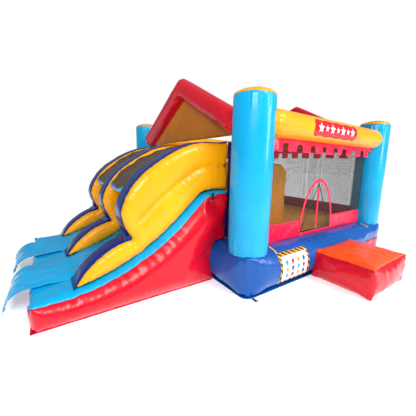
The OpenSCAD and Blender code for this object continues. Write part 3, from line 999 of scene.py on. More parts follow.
# ---------------------------------------------------------------- sub-assemblies
@dataclass
class Base:
    """The royal blue base chamber with its patches, strip, straps and the quilted bed on it."""

    plan: Plan
    paint: Palette
    corner: float = 0.11
    crown: float = 0.07
    quilt_pitch: float = 0.26
    quilt_rise: float = 0.022
    rim: float = 0.17
    border: float = 0.032
    rings: tuple[str, ...] = ("anchor_ring_front_left", "anchor_ring_front_right", "anchor_ring_rear_left",
                              "anchor_ring_rear_right")
    chamber: bpy.types.Object | None = None

    def build(self) -> None:
        """Makes the base and everything on it."""
        self._chamber()
        self._bed()
        self._patch()
        self._strip()
        self._straps()
        self._baffles()

    def _chamber(self) -> None:
        """The blown-up base, held flat inside its rim by the baffles."""
        low, high = self.plan.base_low, self.plan.base_high
        block = rounded_block(low, high, self.corner)
        seams = sharp_seams(block, 60)
        seams += [p for z in (low.z, high.z) for name in self.plan.pillars for p in self._foot_ring(name, z)]
        piece = new_piece("base_chamber", block, self.paint.royal)

        def held(points: np.ndarray) -> np.ndarray:
            """Vertices of the top and bottom panels inside the rim."""
            return np.minimum(np.minimum(points[:, 0] - low.x, high.x - points[:, 0]),
                              np.minimum(points[:, 1] - low.y, high.y - points[:, 1])) > self.rim

        Inflation(voxel=0.045, pressure=9.0, swell=self.crown, smoothing=9).apply(
            piece, held, ("vent_flap", "vent_zip", "corner_strip", *self.rings))
        points = coordinates(piece)
        points[:, 2] = np.clip(points[:, 2], 0.0, high.z + 0.012)
        place_vertices(piece, points)
        Pucker(depth=0.012, pitch=0.06, reach=0.08, groove=0.010).apply(piece, seams, 2.0)
        keep_above(piece)
        self.chamber = settle(piece, HOUSE, "pvc_royal_blue", "base")

    def _foot_ring(self, name: str, z: float) -> list[Vector]:
        """The seam where a pillar's foot is sewn to the base."""
        low, high = self.plan.pillars[name]
        return ring_points(Vector(((low.x + high.x) / 2, (low.y + high.y) / 2, z)), 2, self.plan.pillar_r)

    def _bed(self) -> None:
        """The quilted jumping bed, with channels that run from front to back."""
        low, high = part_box("jump_bed")
        bm = outer_shell(["jump_bed"])
        bmesh.ops.dissolve_limit(bm, angle_limit=0.01, verts=bm.verts, edges=bm.edges)
        grid_cut(bm, self.quilt_pitch / 8, 2)
        for vertex in bm.verts:
            across = math.pi * (vertex.co.x - low.x) / self.quilt_pitch
            if vertex.co.z > (low.z + high.z) / 2:
                edge = min(vertex.co.x - low.x, high.x - vertex.co.x,
                           vertex.co.y - low.y, high.y - vertex.co.y)
                tuft = noise.noise(vertex.co * 4.0) * 0.004
                fade = min(1.0, edge / 0.08)
                vertex.co.z += (self.quilt_rise * math.sqrt(abs(math.sin(across))) - 0.016 + tuft) * fade
        piece = new_piece("quilted_bed", bm, self.paint.yellow)
        settle(piece, HOUSE, "pvc_yellow", "jump_bed")

    def _pressed(self, bm: bmesh.types.BMesh, direction: Vector, lift: float) -> None:
        """Lays a flat mesh on the base chamber's curved side.

        Args:
            bm: the mesh, in front of the side.
            direction: the way it is pressed.
            lift: how far it stands off the chamber.
        """
        shell = BVHTree.FromObject(self.chamber, bpy.context.evaluated_depsgraph_get())
        for vertex in bm.verts:
            hit = shell.ray_cast(vertex.co - direction * 0.3, direction)[0]
            if hit:
                vertex.co = hit - direction * lift

    def _patch(self) -> None:
        """The white notice patch, with a hatched border and plain picture tiles."""
        forward = Vector((0, 1, 0))
        low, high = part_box("info_patch")
        sheet = flat_side("info_patch", -forward)[0]
        grid_cut(sheet, 0.03, 1)
        self._pressed(sheet, forward, 0.003)
        piece = new_piece("notice_patch", sheet, self.paint.white)
        thicken(piece, 0.002, 1.0)
        settle(piece, HOUSE, "white_patch", "info_patch")
        border = flat_side("info_patch", -forward)[0]
        grid_cut(border, 0.019, 1)
        inside = [f for f in border.faces
                  if all(self.border < f.calc_center_median()[k] - low[k] < high[k] - low[k] - self.border
                         for k in (0, 2))]
        bmesh.ops.delete(border, geom=inside, context="FACES")
        self._pressed(border, forward, 0.006)
        frame_piece = new_piece("patch_border", border, self.paint.hatched)
        thicken(frame_piece, 0.001, 1.0)
        settle(frame_piece, HOUSE, "white_patch")
        self._tiles(low, high, forward)

    def _tiles(self, low: Vector, high: Vector, forward: Vector) -> None:
        """Rows of plain coloured tiles in the patch, with no picture or lettering."""
        rows, columns = 3, 4
        paints = (self.paint.sky, self.paint.trim, self.paint.yellow, self.paint.royal)
        room = Vector(((high.x - low.x - 0.13) / columns, 0, (high.z - low.z - 0.13) / rows))
        for k, material in enumerate(paints):
            bm = bmesh.new()
            for row in range(rows):
                for column in range(columns):
                    if (row * 2 + column) % len(paints) != k:
                        continue
                    middle = Vector((low.x + 0.065 + (column + 0.5) * room.x, low.y,
                                     low.z + 0.065 + (row + 0.5) * room.z))
                    turn = Matrix.Translation(middle) @ Matrix.Rotation(math.pi / 2, 4, "X")
                    bmesh.ops.create_circle(bm, cap_ends=True, segments=20,
                                            radius=0.3 * min(room.x, room.z), matrix=turn)
                    for bar in range(2):
                        start, end = middle.x - 0.4 * room.x, middle.x + (0.4 - 0.2 * bar) * room.x
                        z = middle.z - room.z * (0.36 + 0.07 * bar)
                        corners = [(start, z), (end, z), (end, z + 0.004), (start, z + 0.004)]
                        bm.faces.new([bm.verts.new((x, low.y, y)) for x, y in corners])
            self._pressed(bm, forward, 0.0065)
            tile = new_piece(f"patch_tiles_{k + 1}", bm, material)
            thicken(tile, 0.0008, 1.0)
            settle(tile, HOUSE, "white_patch")

    def _strip(self) -> None:
        """The red strip low on the base's right end."""
        forward = Vector((0, 1, 0))
        strip = flat_side("corner_strip", -forward)[0]
        grid_cut(strip, 0.03, 1)
        self._pressed(strip, forward, 0.004)
        piece = new_piece("corner_strip_sewn", strip, self.paint.red)
        thicken(piece, 0.002, 1.0)
        settle(piece, HOUSE, "pvc_red", "corner_strip")

    def _straps(self) -> None:
        """Two yellow webbing straps on the base's front ledge."""
        straps = flat_side("tie_straps", Vector((0, 0, 1)))
        for name, bm in zip(("left", "right"), straps):
            grid_cut(bm, 0.012, 2)
            self._pressed(bm, Vector((0, 0, -1)), 0.003)
            piece = new_piece(f"tie_strap_{name}", bm, self.paint.strap)
            thicken(piece, 0.002, 1.0)
            settle(piece, HOUSE, "webbing_yellow", "tie_straps")

    def _baffles(self) -> None:
        """The baffle curtains inside the base, short of its blown-up panels."""
        bm = cad_copy("floor_baffles")
        low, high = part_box("floor_baffles")
        centre = (low + high) / 2
        for vertex in bm.verts:
            vertex.co.z = centre.z + (vertex.co.z - centre.z) * 0.86
            vertex.co.y = centre.y + (vertex.co.y - centre.y) * 0.95
        grid_cut(bm, 0.3, 0)
        settle(new_piece("baffle_curtains", bm, self.paint.baffle), HOUSE, "baffle_cloth", "floor_baffles")


def dress(node: str, material: bpy.types.Material) -> None:
    """Gives a CAD node that keeps its shape its finish.

    Args:
        node: the CAD node.
        material: its finish.
    """
    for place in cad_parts[node].material_slots:
        place.material = material
    LOG.info("%s keeps its own shape", node)


@dataclass
class Pillars:
    """Four sky blue corner pillars with yellow domed caps."""

    plan: Plan
    paint: Palette
    pinch: float = 0.035

    def build(self) -> None:
        """Makes the pillars and their caps."""
        cap_low, cap_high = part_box("pillar_caps")
        for number, (name, (low, high)) in enumerate(self.plan.pillars.items()):
            middle = Vector(((low.x + high.x) / 2, (low.y + high.y) / 2, 0))
            self._pillar(name, middle, low.z, high.z, number)
            self._cap(name, middle, high.z, cap_high.z, number)

    def _pillar(self, name: str, middle: Vector, low: float, high: float, number: int) -> None:
        """One pillar, gathered at both ends.

        Args:
            name: which corner.
            middle: its axis on the ground.
            low: height of its foot.
            high: height of its straight side's top.
            number: seed of its wrinkles.
        """
        radius = self.plan.pillar_r
        bm = lathe(rounded_profile(radius - 0.004, low - 0.045, high + 0.012, self.pinch, 84), 132)
        for vertex in bm.verts:
            along = max(0.0, min(1.0, (vertex.co.z - low) / (high - low)))
            vertex.co.xy *= 1 + 0.022 * math.sin(math.pi * along) ** 0.6
        bmesh.ops.translate(bm, verts=bm.verts, vec=middle)
        piece = new_piece(f"pillar_tube_{name}", bm, self.paint.sky)
        seams = ring_points(middle + Vector((0, 0, high - 0.004)), 2, radius)
        seams += ring_points(middle + Vector((0, 0, low + 0.006)), 2, radius)
        ends = Pucker(depth=0.010, pitch=0.035, reach=0.055, groove=0.012, groove_width=0.014)
        ends.apply(piece, seams, 3.0 + number)
        cuffs = ring_points(middle + Vector((0, 0, low + 0.052)), 2, radius)
        cuff = Pucker(depth=0.003, pitch=0.03, reach=0.03, groove=0.004, groove_width=0.007)
        cuff.apply(piece, cuffs, number)
        settle(piece, HOUSE, "pvc_sky_blue", f"pillar_{name}")

    def _cap(self, name: str, middle: Vector, low: float, high: float, number: int) -> None:
        """One domed cap, with a scalloped edge.

        Args:
            name: which corner.
            middle: the pillar's axis on the ground.
            low: height of the cap's edge.
            high: height of its crown.
            number: seed of its wrinkles.
        """
        radius, rise = self.plan.pillar_r - 0.002, high - low - 0.002
        dome = (radius * radius + rise * rise) / (2 * rise)
        crown = high - 0.002
        edge = math.asin(radius / dome)
        arc = [edge * (1 - i / 26) for i in range(27)]
        profile = [(0.0, low - 0.02), (radius * 0.6, low - 0.02),
                   (radius - 0.012, low - 0.016), (radius - 0.001, low - 0.006)]
        profile += [(dome * math.sin(a), crown - dome + dome * math.cos(a)) for a in arc[:-1]]
        profile.append((0.0, crown))
        bm = lathe(profile, 144)
        for vertex in bm.verts:
            reach = math.hypot(vertex.co.x, vertex.co.y)
            if reach > radius * 0.9:
                angle = math.atan2(vertex.co.y, vertex.co.x)
                wave = noise.noise(Vector((4 * math.cos(angle), 4 * math.sin(angle), number)))
                vertex.co.z += 0.010 * wave * (reach / radius - 0.9) / 0.1
        bmesh.ops.translate(bm, verts=bm.verts, vec=middle)
        piece = new_piece(f"pillar_dome_{name}", bm, self.paint.yellow)
        seams = ring_points(middle + Vector((0, 0, low)), 2, radius)
        Pucker(depth=0.007, pitch=0.03, reach=0.04, groove=0.004).apply(piece, seams, 11.0 + number)
        settle(piece, HOUSE, "pvc_yellow", "pillar_caps")


@dataclass
class Beams:
    """The front and rear beams, the plain name panel and the toothed valances."""

    plan: Plan
    paint: Palette
    panel_shift: float = -0.085
    end_trim: float = 0.02
    broad_sway: float = 0.05
    fine_sway: float = 0.022

    def build(self) -> None:
        """Makes both beams and what hangs on them."""
        for side in ("front", "rear"):
            self._beam(side)
        self._valance("front", 0, "front_beam", 0.2)
        self._valance("rear", 0, "rear_beam", 0.0)
        self._valance("side", 1, "gable_panels", 0.0)
        self._panel()

    def _beam(self, side: str) -> None:
        """One beam with rounded, gathered ends."""
        low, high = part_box(f"{side}_beam")
        centre = (low + high) / 2
        radius = (high.z - low.z) / 2
        if side == "front":
            centre.y = low.y + radius
        else:
            centre.y = high.y - radius
        half = (high.x - low.x) / 2 - self.end_trim
        centre.x -= self.end_trim
        arc = [math.radians(6 * i) for i in range(16)]
        profile = [(radius * math.sin(a), -half + radius - radius * math.cos(a)) for a in arc]
        body = 2 * (half - radius)
        profile += [(radius, -half + radius + body * i / 80) for i in range(1, 80)]
        profile += [(radius * math.cos(a), half - radius + radius * math.sin(a)) for a in arc]
        profile[0] = (0.0, -half)
        profile[-1] = (0.0, half)
        bm = lathe(profile, 104)
        turn = Matrix.Translation(centre) @ Matrix.Rotation(math.pi / 2, 4, "Y")
        bmesh.ops.transform(bm, verts=bm.verts, matrix=turn)
        piece = new_piece(f"{side}_beam_tube", bm, self.paint.yellow)
        inset = half - radius * 0.72
        seams = [p for s in (-1, 1) for p in ring_points(centre + Vector((s * inset, 0, 0)), 0, radius)]
        ends = Pucker(depth=0.011, pitch=0.04, reach=0.07, groove=0.009, groove_width=0.016)
        ends.apply(piece, seams, 5.0)
        settle(piece, HOUSE, "pvc_yellow", f"{side}_beam")

    def _panel(self) -> None:
        """A plain red panel round the front beam, with a row of stars in place of a name."""
        low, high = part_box("beam_badge")
        beam_low, beam_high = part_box("front_beam")
        radius = (beam_high.z - beam_low.z) / 2
        centre = Vector(((low.x + high.x) / 2 + self.panel_shift, beam_low.y + radius,
                         (beam_low.z + beam_high.z) / 2))
        half_x, half_s = (high.x - low.x) / 2, radius * math.asin((high.z - low.z) / 2 / radius)

        def wrapped(x: float, s: float, off: float) -> Vector:
            """A point x along the beam and s round it, off outside its surface."""
            angle = s / radius
            return centre + Vector((x, -(radius + off) * math.cos(angle), (radius + off) * math.sin(angle)))

        bm = bmesh.new()
        columns, rows = 60, 14
        grid = []
        for i in range(columns + 1):
            x = -half_x + 2 * half_x * i / columns
            end = 1 - max(0.0, abs(x) / half_x - 0.93) / 0.07
            wavy = half_s * (0.90 + 0.05 * math.cos(14 * x / half_x))
            reach = wavy * (0.55 + 0.45 * math.sqrt(max(end, 0)))
            grid.append([bm.verts.new(wrapped(x, -reach + 2 * reach * j / rows, 0.003))
                         for j in range(rows + 1)])
        quads(bm, grid, turned=True)
        panel = new_piece("name_panel", bm, self.paint.red)
        thicken(panel, 0.002, 1.0)
        settle(panel, HOUSE, "pvc_red", "beam_badge")
        stars = bmesh.new()
        count = 7
        for k in range(count):
            x = (k - (count - 1) / 2) * 1.75 * half_x / count
            size = half_s * (0.62 if k % 2 == 0 else 0.42)
            hub = stars.verts.new(wrapped(x, 0, 0.0075))
            tips = []
            for i in range(10):
                angle = math.pi / 2 + i * math.pi / 5
                reach = size * (1.0 if i % 2 == 0 else 0.45)
                tip = wrapped(x + reach * math.cos(angle), reach * math.sin(angle), 0.0065)
                tips.append(stars.verts.new(tip))
            for i in range(10):
                stars.faces.new((hub, tips[i], tips[(i + 1) % 10]))
        piece = new_piece("panel_stars", stars, self.paint.white)
        thicken(piece, 0.0015, 1.0)
        settle(piece, HOUSE, "white_patch")

    def _valance(self, side: str, along: int, support: str, lift: float) -> None:
        """One hanging band with square teeth that curl and twist a little.

        Args:
            side: which wall it is on.
            along: 0 or 1 for a band along X or Y.
            support: the CAD node that it hangs from; not used.
            lift: how much of its depth the teeth curl up by.
        """
        low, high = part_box(f"{side}_valance")
        across = 1 - along
        facing = Vector((0, -1, 0)) if along == 0 else Vector((-1, 0, 0))
        bm = flat_side(f"{side}_valance", facing)[0]
        grid_cut(bm, 0.028, across)
        area = sum(f.calc_area() for f in bm.faces)
        depth, seed = high.z - low.z, float(len(side)) + along * 5
        for vertex in bm.verts:
            drop, place = (high.z - vertex.co.z) / depth, vertex.co[along]
            wave = noise.noise(Vector((place * 3.2, seed, 0)))
            fine = noise.noise(Vector((place * 11.0, seed + 1, vertex.co.z * 3)))
            sway = self.broad_sway * wave + self.fine_sway * fine
            vertex.co[across] += drop * (sway if along == 0 else -abs(sway))
            vertex.co.z += drop * (0.012 * noise.noise(Vector((place * 5.0, seed + 7, 0))) + lift * depth)
        piece = new_piece(f"{side}_valance_band", bm, self.paint.trim)
        thicken(piece, 0.0025)
        settle(piece, HOUSE, "tape_pink_red", f"{side}_valance")


@dataclass
class Roof:
    """The two roof tubes, each mitred at its ridge, and the fabric in each gable."""

    plan: Plan
    paint: Palette
    slope: float = 27.0

    def build(self) -> None:
        """Makes both gables."""
        for side in ("left", "right"):
            self._tube(side)
        self._fabric()

    def _tube(self, side: str) -> None:
        """One tube, from pillar to pillar over the ridge."""
        low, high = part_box(f"roof_tube_{side}")
        radius = (high.x - low.x) / 2 - 0.004
        x = (low.x + high.x) / 2
        middle_y = (low.y + high.y) / 2
        slope = math.radians(self.slope)
        ridge_z = high.z - radius / math.cos(slope) - 0.004
        foot_y = self.plan.origin.y + self.plan.pillar_r + 0.03
        bm = bmesh.new()
        around, along = 88, 84
        rings: list[list[bmesh.types.BMVert]] = []
        start = Vector((x, foot_y, ridge_z - (middle_y - foot_y) * math.tan(slope)))
        up = Vector((0, math.cos(slope), math.sin(slope)))
        over = Vector((0, -math.sin(slope), math.cos(slope)))
        out = Vector((1, 0, 0))
        for k in range(1, 9):
            dip = math.radians(90 * (1 - k / 9))
            hub, turn = start - up * radius * 0.9 * math.sin(dip), math.cos(dip)
            rings.append([bm.verts.new(hub + (out * math.cos(a) + over * math.sin(a)) * radius * turn)
                          for a in (2 * math.pi * i / around for i in range(around))])
        for k in range(along + 1):
            ring = []
            for i in range(around):
                angle = 2 * math.pi * i / around
                radial = (out * math.cos(angle) + over * math.sin(angle)) * radius
                reach = (middle_y - start.y - radial.y) / math.cos(slope)
                ring.append(bm.verts.new(start + radial + up * reach * k / along))
            rings.append(ring)
        tip = bm.verts.new(start - up * radius * 0.9)
        for i in range(around):
            bm.faces.new((tip, rings[0][(i + 1) % around], rings[0][i]))
        quads(bm, rings, closed=True)
        twin = bmesh.ops.duplicate(bm, geom=bm.verts[:] + bm.edges[:] + bm.faces[:])["geom"]
        for vertex in (g for g in twin if isinstance(g, bmesh.types.BMVert)):
            vertex.co.y = 2 * middle_y - vertex.co.y
        bmesh.ops.remove_doubles(bm, verts=bm.verts, dist=1e-4)
        bmesh.ops.recalc_face_normals(bm, faces=bm.faces)
        piece = new_piece(f"roof_tube_{side}_sewn", bm, self.paint.red)
        seams = []
        for i in range(240):
            angle = 2 * math.pi * i / 240
            seams.append(Vector((x + radius * math.cos(angle), middle_y,
                                 ridge_z + radius * math.sin(angle) / math.cos(slope))))
        for centre in (start, Vector((x, 2 * middle_y - start.y, start.z))):
            lean = up if centre is start else Vector((0, -up.y, up.z))
            tilt = over if centre is start else Vector((0, -over.y, over.z))
            seams += [centre + lean * 0.03 + (out * math.cos(a) + tilt * math.sin(a)) * radius
                      for a in (2 * math.pi * i / 200 for i in range(200))]
        gather = Pucker(depth=0.012, pitch=0.045, reach=0.07, groove=0.010, groove_width=0.016)
        gather.apply(piece, seams, 7.0)
        settle(piece, HOUSE, "pvc_red", f"roof_tube_{side}")

    def _fabric(self) -> None:
        """The stretched triangle of fabric under each ridge, with faint slanting creases, in the darkened
        yellow that paints its shade.
        """
        for side, bm in zip(("left", "right"), flat_side("gable_panels", Vector((-1, 0, 0)))):
            (near, far), (foot, top) = extent(bm, 1), extent(bm, 2)
            width, height, middle = far - near, top - foot, (far + near) / 2
            grid_cut(bm, 0.04, 0)
            area = sum(f.calc_area() for f in bm.faces)
            for vertex in bm.verts:
                across, rise = (vertex.co.y - middle) / (width / 2), (vertex.co.z - foot) / height
                inside = max(0.0, 1 - abs(across) - rise)
                fan = math.atan2(vertex.co.z - foot - height, vertex.co.y - middle)
                crease = noise.noise(Vector((fan * 9.0, 3.0, 0)))
                vertex.co.x += 0.05 * inside * (1 - inside) + 0.02 * crease * math.sqrt(inside)
            # Darker yellow: painted shade on the gable fabric.
            piece = new_piece(f"gable_fabric_{side}", bm, self.paint.gable)
            thicken(piece, 0.002)
            settle(piece, HOUSE, "pvc_yellow", "gable_panels")


class StrandTree:
    """The node group that turns lines into knotless net strands."""

    def __init__(self) -> None:
        """Builds the group, with named inputs for its sizes."""
        group = bpy.data.node_groups.new("net_strands", "GeometryNodeTree")
        face = group.interface
        face.new_socket("Geometry", in_out="INPUT", socket_type="NodeSocketGeometry")
        kinds = {"Strand Radius": "Float", "Slack": "Vector", "Slack Scale": "Float", "Yarn": "Material"}
        self.inputs = {
            name: face.new_socket(name, in_out="INPUT", socket_type=f"NodeSocket{kind}").identifier
            for name, kind in kinds.items()
        }
        face.new_socket("Geometry", in_out="OUTPUT", socket_type="NodeSocketGeometry")
        nodes, links = group.nodes, group.links
        start, end = nodes.new("NodeGroupInput"), nodes.new("NodeGroupOutput")
        sag = nodes.new("GeometryNodeSetPosition")
        field_noise = nodes.new("ShaderNodeTexNoise")
        centred = nodes.new("ShaderNodeMath")
        centred.operation = "SUBTRACT"
        centred.inputs[1].default_value = 0.5
        push = nodes.new("ShaderNodeVectorMath")
        push.operation = "SCALE"
        curve = nodes.new("GeometryNodeMeshToCurve")
        profile = nodes.new("GeometryNodeCurvePrimitiveCircle")
        profile.inputs["Resolution"].default_value = 4
        tube = nodes.new("GeometryNodeCurveToMesh")
        paint = nodes.new("GeometryNodeSetMaterial")
        real = nodes.new("GeometryNodeRealizeInstances")
        links.new(start.outputs["Geometry"], sag.inputs["Geometry"])
        links.new(start.outputs["Slack Scale"], field_noise.inputs["Scale"])
        links.new(field_noise.outputs[0], centred.inputs[0])
        links.new(start.outputs["Slack"], push.inputs[0])
        links.new(centred.outputs[0], push.inputs["Scale"])
        links.new(push.outputs[0], sag.inputs["Offset"])
        links.new(sag.outputs[0], curve.inputs[0])
        links.new(start.outputs["Strand Radius"], profile.inputs["Radius"])
        links.new(curve.outputs[0], tube.inputs["Curve"])
        links.new(profile.outputs[0], tube.inputs["Profile Curve"])
        tube.inputs["Fill Caps"].default_value = True
        links.new(tube.outputs[0], real.inputs[0])
        links.new(real.outputs[0], paint.inputs["Geometry"])
        links.new(start.outputs["Yarn"], paint.inputs["Material"])
        links.new(paint.outputs[0], end.inputs[0])
        self.group = group

    def grow(self, name: str, lines: list[list[Vector]], yarn: bpy.types.Material, radius: float,
             slack: Vector, slack_scale: float = 1.4) -> bpy.types.Object:
        """Makes a plain mesh of strands from lines.

        Args:
            name: the piece's name.
            lines: each strand's points.
            yarn: its finish.
            radius: of a strand.
            slack: direction and size of the net's sag.
            slack_scale: waves of sag per metre.

        Returns:
            The net.
        """
        mesh = bpy.data.meshes.new(name)
        points = [p for line in lines for p in line]
        edges, first = [], 0
        for line in lines:
            edges += [(first + i, first + i + 1) for i in range(len(line) - 1)]
            first += len(line)
        mesh.from_pydata(points, edges, [])
        net = bpy.data.objects.new(name, mesh)
        bpy.context.scene.collection.objects.link(net)
        tool = net.modifiers.new("Strands", "NODES")
        tool.node_group = self.group
        tool[self.inputs["Strand Radius"]] = radius
        tool[self.inputs["Slack"]] = tuple(slack)
        tool[self.inputs["Slack Scale"]] = slack_scale
        tool[self.inputs["Yarn"]] = yarn
        bake_modifiers(net)
        return net


def clipped_lines(bm: bmesh.types.BMesh, along: int, across: int, pitch: float,
                  step: float) -> list[list[Vector]]:
    """Straight strands inside a flat panel's outline, all along one axis.

    Args:
        bm: the panel.
        along: 0, 1 or 2 for the axis that the strands follow.
        across: the axis that they are spread over.
        pitch: distance between them.
        step: distance between a strand's points.

    Returns:
        Each strand's points.
    """
    border = [(e.verts[0].co, e.verts[1].co) for e in bm.edges if e.is_boundary]
    low = min(min(a[across], b[across]) for a, b in border)
    high = max(max(a[across], b[across]) for a, b in border)
    lines = []
    for i in range(int((high - low) / pitch)):
        place = low + (i + 0.5) * pitch
        cuts = []
        for a, b in border:
            if (a[across] - place) * (b[across] - place) < 0:
                cuts.append(a.lerp(b, (place - a[across]) / (b[across] - a[across])))
        cuts.sort(key=lambda p: p[along])
        for a, b in zip(cuts[::2], cuts[1::2]):
            count = max(1, round((b - a).length / step))
            lines.append([a.lerp(b, k / count) for k in range(count + 1)])
    return lines


@dataclass
class Nets:
    """Net walls, side panels, skirt bands and the door with its flaps, tapes and zips."""

    plan: Plan
    paint: Palette
    strands: StrandTree
    pitch: float = 0.0125
    radius: float = 0.0013
    binding: float = 0.030
    strand_step: float = 0.12
    shortest_band: float = 0.2

    def build(self) -> None:
        """Makes every net wall, band and door piece."""
        self._wall("front_net", "front_net_wall", 1, HOUSE)
        self._wall("rear_net", "rear_net_wall", 1, HOUSE)
        self._wall("right_net", "right_net_wall", 0, HOUSE)
        self._wall("door_flap_left", "door_net_left", 1, "left_door_flap", slack=0.0)
        self._wall("door_flap_right", "door_net_right", 1, "right_door_flap", slack=0.0)
        self._panels()
        self._bands()
        self._tapes()

    def _wall(self, node: str, name: str, square_to: int, body: str, slack: float = 0.007) -> None:
        """One net, with a bound edge.

        Args:
            node: its CAD node.
            name: the piece's name.
            square_to: 0 or 1 for a net square to X or Y.
            body: the body it rides on.
            slack: how far it sags out of its plane.
        """
        direction = Vector((-1, 0, 0)) if square_to == 0 else Vector((0, -1, 0))
        panel = flat_side(node, direction)[0]
        low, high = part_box(node)
        for vertex in panel.verts:
            vertex.co[square_to] = (low[square_to] + high[square_to]) / 2
        flat = 1 - square_to
        lines = [line for along, across in ((2, flat), (flat, 2))
                 for line in clipped_lines(panel, along, across, self.pitch, self.strand_step)]
        net = self.strands.grow(name, lines, self.paint.net, self.radius, direction * slack)
        settle(net, body, "black_net", node)
        self._bind(panel, name, square_to, body, self.binding if body == HOUSE else 0.008)

    def _bind(self, panel: bmesh.types.BMesh, name: str, square_to: int, body: str, width: float) -> None:
        """Sews a flat binding tape along a net's border.

        Args:
            panel: the net's flat outline.
            name: the net's name.
            square_to: as in _wall.
            body: the body it rides on.
            width: of the tape.
        """
        bm = bmesh.new()
        normal = Vector((1, 0, 0)) if square_to == 0 else Vector((0, 1, 0))
        for edge in (e for e in panel.edges if e.is_boundary):
            a, b = edge.verts[0].co.copy(), edge.verts[1].co.copy()
            centre = edge.link_faces[0].calc_center_median()
            run = (b - a).normalized()
            side = normal.cross(run)
            middle = (a + b) / 2
            if side.dot(centre - middle) < 0 and len(panel.faces) == 1:
                side = -side
            corners = [a, b, b + side * width * 0.5, a + side * width * 0.5]
            bm.faces.new([bm.verts.new(c) for c in corners])
        panel.free()
        tape = new_piece(f"{name}_binding", bm, self.paint.black)
        thicken(tape, 0.003)
        settle(tape, body, "webbing_black")

    def _panels(self) -> None:
        """The dark navy panels between the slide and the left pillars; their colour paints the shade in that
        gap.
        """
        for side, bm in zip(("front", "rear"), flat_side("side_panels", Vector((-1, 0, 0)))):
            grid_cut(bm, 0.03, 0)
            area = sum(f.calc_area() for f in bm.faces)
            for vertex in bm.verts:
                vertex.co.x += 0.012 * noise.noise(Vector((0, vertex.co.y * 9, vertex.co.z * 2.5)))
            # Navy sheet in the gap between slide and pillar: painted shade for that dark gap.
            piece = new_piece(f"side_panel_{side}", bm, self.paint.navy)
            thicken(piece, 0.002)
            settle(piece, HOUSE, "pvc_navy", "side_panels")

    def _bands(self) -> None:
        """The wrinkled skirt bands at the nets' foot."""
        walls = (("front_bands", Vector((0, -1, 0)), 1), ("rear_bands", Vector((0, 1, 0)), 1),
                 ("rear_bands", Vector((1, 0, 0)), 0))
        for node, direction, square_to in walls:
            flat = 1 - square_to
            panels = [bm for bm in flat_side(node, direction)
                      if extent(bm, flat)[1] - extent(bm, flat)[0] > self.shortest_band]
            for number, bm in enumerate(panels):
                grid_cut(bm, 0.024, square_to)
                area = sum(f.calc_area() for f in bm.faces)
                (start, end), (foot, top) = extent(bm, flat), extent(bm, 2)
                width, height = end - start, top - foot
                for vertex in bm.verts:
                    place, rise = vertex.co[flat], (vertex.co.z - foot) / height
                    ripple = noise.noise(Vector((place * 13, 2.0, rise * 1.5)))
                    ripple += 0.6 * noise.noise(Vector((place * 31, 5.0, rise)))
                    vertex.co += direction * (0.004 + 0.010 * ripple * (0.35 + rise * (1 - rise) * 2.6))
                name = f"{node[:-1]}_{'side' if square_to == 0 else number + 1}"
                piece = new_piece(name, bm, self.paint.trim)
                thicken(piece, 0.0025)
                settle(piece, HOUSE, "tape_pink_red", node)

    def _tapes(self) -> None:
        """The arch tape, the sill tape and the zip's two tapes, and the finish of the zip sliders."""
        rows = (("door_arch_tape", "arch_tape", HOUSE, 0.003), ("sill_tape", "sill_zip_tape", HOUSE, 0.003),
                ("zip_tape_left", "door_zip_left", "left_door_flap", 0.001),
                ("zip_tape_right", "door_zip_right", "right_door_flap", 0.001))
        for node, name, body, ripple in rows:
            bm = flat_side(node, Vector((0, -1, 0)))[0]
            grid_cut(bm, 0.015, 1)
            for vertex in bm.verts:
                vertex.co.y -= ripple * (1 + noise.noise(vertex.co * 24))
            piece = new_piece(name, bm, self.paint.trim)
            thicken(piece, 0.002, -1.0)
            settle(piece, body, "tape_pink_red", node)
        for node in ("door_zip_slider", "sill_zip_slider"):
            dress(node, self.paint.steel)


@dataclass
class Step:
    """The entry step: a red chamber with an orange top, pinched at its corners."""

    plan: Plan
    paint: Palette
    bulge: float = 0.055
    pinch: float = 0.026

    def build(self) -> None:
        """Makes the step."""
        low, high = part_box("step_body")
        high = Vector((high.x, high.y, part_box("step_top")[1].z))
        block = pillow_block(low, high, 17, self.bulge, self.pinch)
        seams = [e.verts[0].co.lerp(e.verts[1].co, t) for e in block.edges for t in (0, 0.33, 0.67, 1)
                 if e.calc_face_angle(0) > 0.6]
        piece = new_piece("step_chamber", block, self.paint.red)
        piece.data.materials.append(self.paint.orange)
        Inflation(voxel=0, pressure=7.0, swell=0.02).apply(piece)
        edges = Pucker(depth=0.009, pitch=0.045, reach=0.05, groove=0.005, groove_width=0.014)
        edges.apply(piece, seams, 4.0)
        points = coordinates(piece)
        middle = (low + high) / 2
        for point in points:
            if point[2] > high.z * 0.8:
                across = (point[0] - middle.x) + 0.25 * (point[1] - middle.y)
                fade = max(0.0, 1 - abs(point[1] - middle.y) / 0.42)
                point[2] -= 0.014 * fade * math.exp(-(((across + 0.03) / 0.035) ** 2))
                point[2] += 0.006 * fade * math.sin(across * 34)
        place_vertices(piece, points)
        keep_above(piece)
        top = skin_over(piece, "step_cover", self.paint.orange, lambda face: face.material_index == 1)
        settle(piece, HOUSE, "pvc_red", "step_body")
        settle(top, HOUSE, "pvc_orange", "step_top")


@dataclass
class Climb:
    """The ramp of steps and its two side walls inside the house."""

    plan: Plan
    paint: Palette

    def build(self) -> None:
        """Makes the ramp and walls."""
        for node, name, material, slot, voxel in (
                ("climb_ramp", "climbing_steps", self.paint.sky, "pvc_sky_blue", 0.035),
                ("climb_wall_near", "climb_wall_near_tube", self.paint.yellow, "pvc_yellow", 0.03),
                ("climb_wall_far", "climb_wall_far_tube", self.paint.yellow, "pvc_yellow", 0.03)):
            shell = outer_shell([node])
            seams = sharp_seams(shell, 50)
            piece = new_piece(name, shell, material)
            Inflation(voxel=voxel, pressure=4.0, swell=0.025).apply(piece)
            Pucker(depth=0.009, pitch=0.05, reach=0.06).apply(piece, seams, 6.0)
            settle(piece, HOUSE, slot, node)


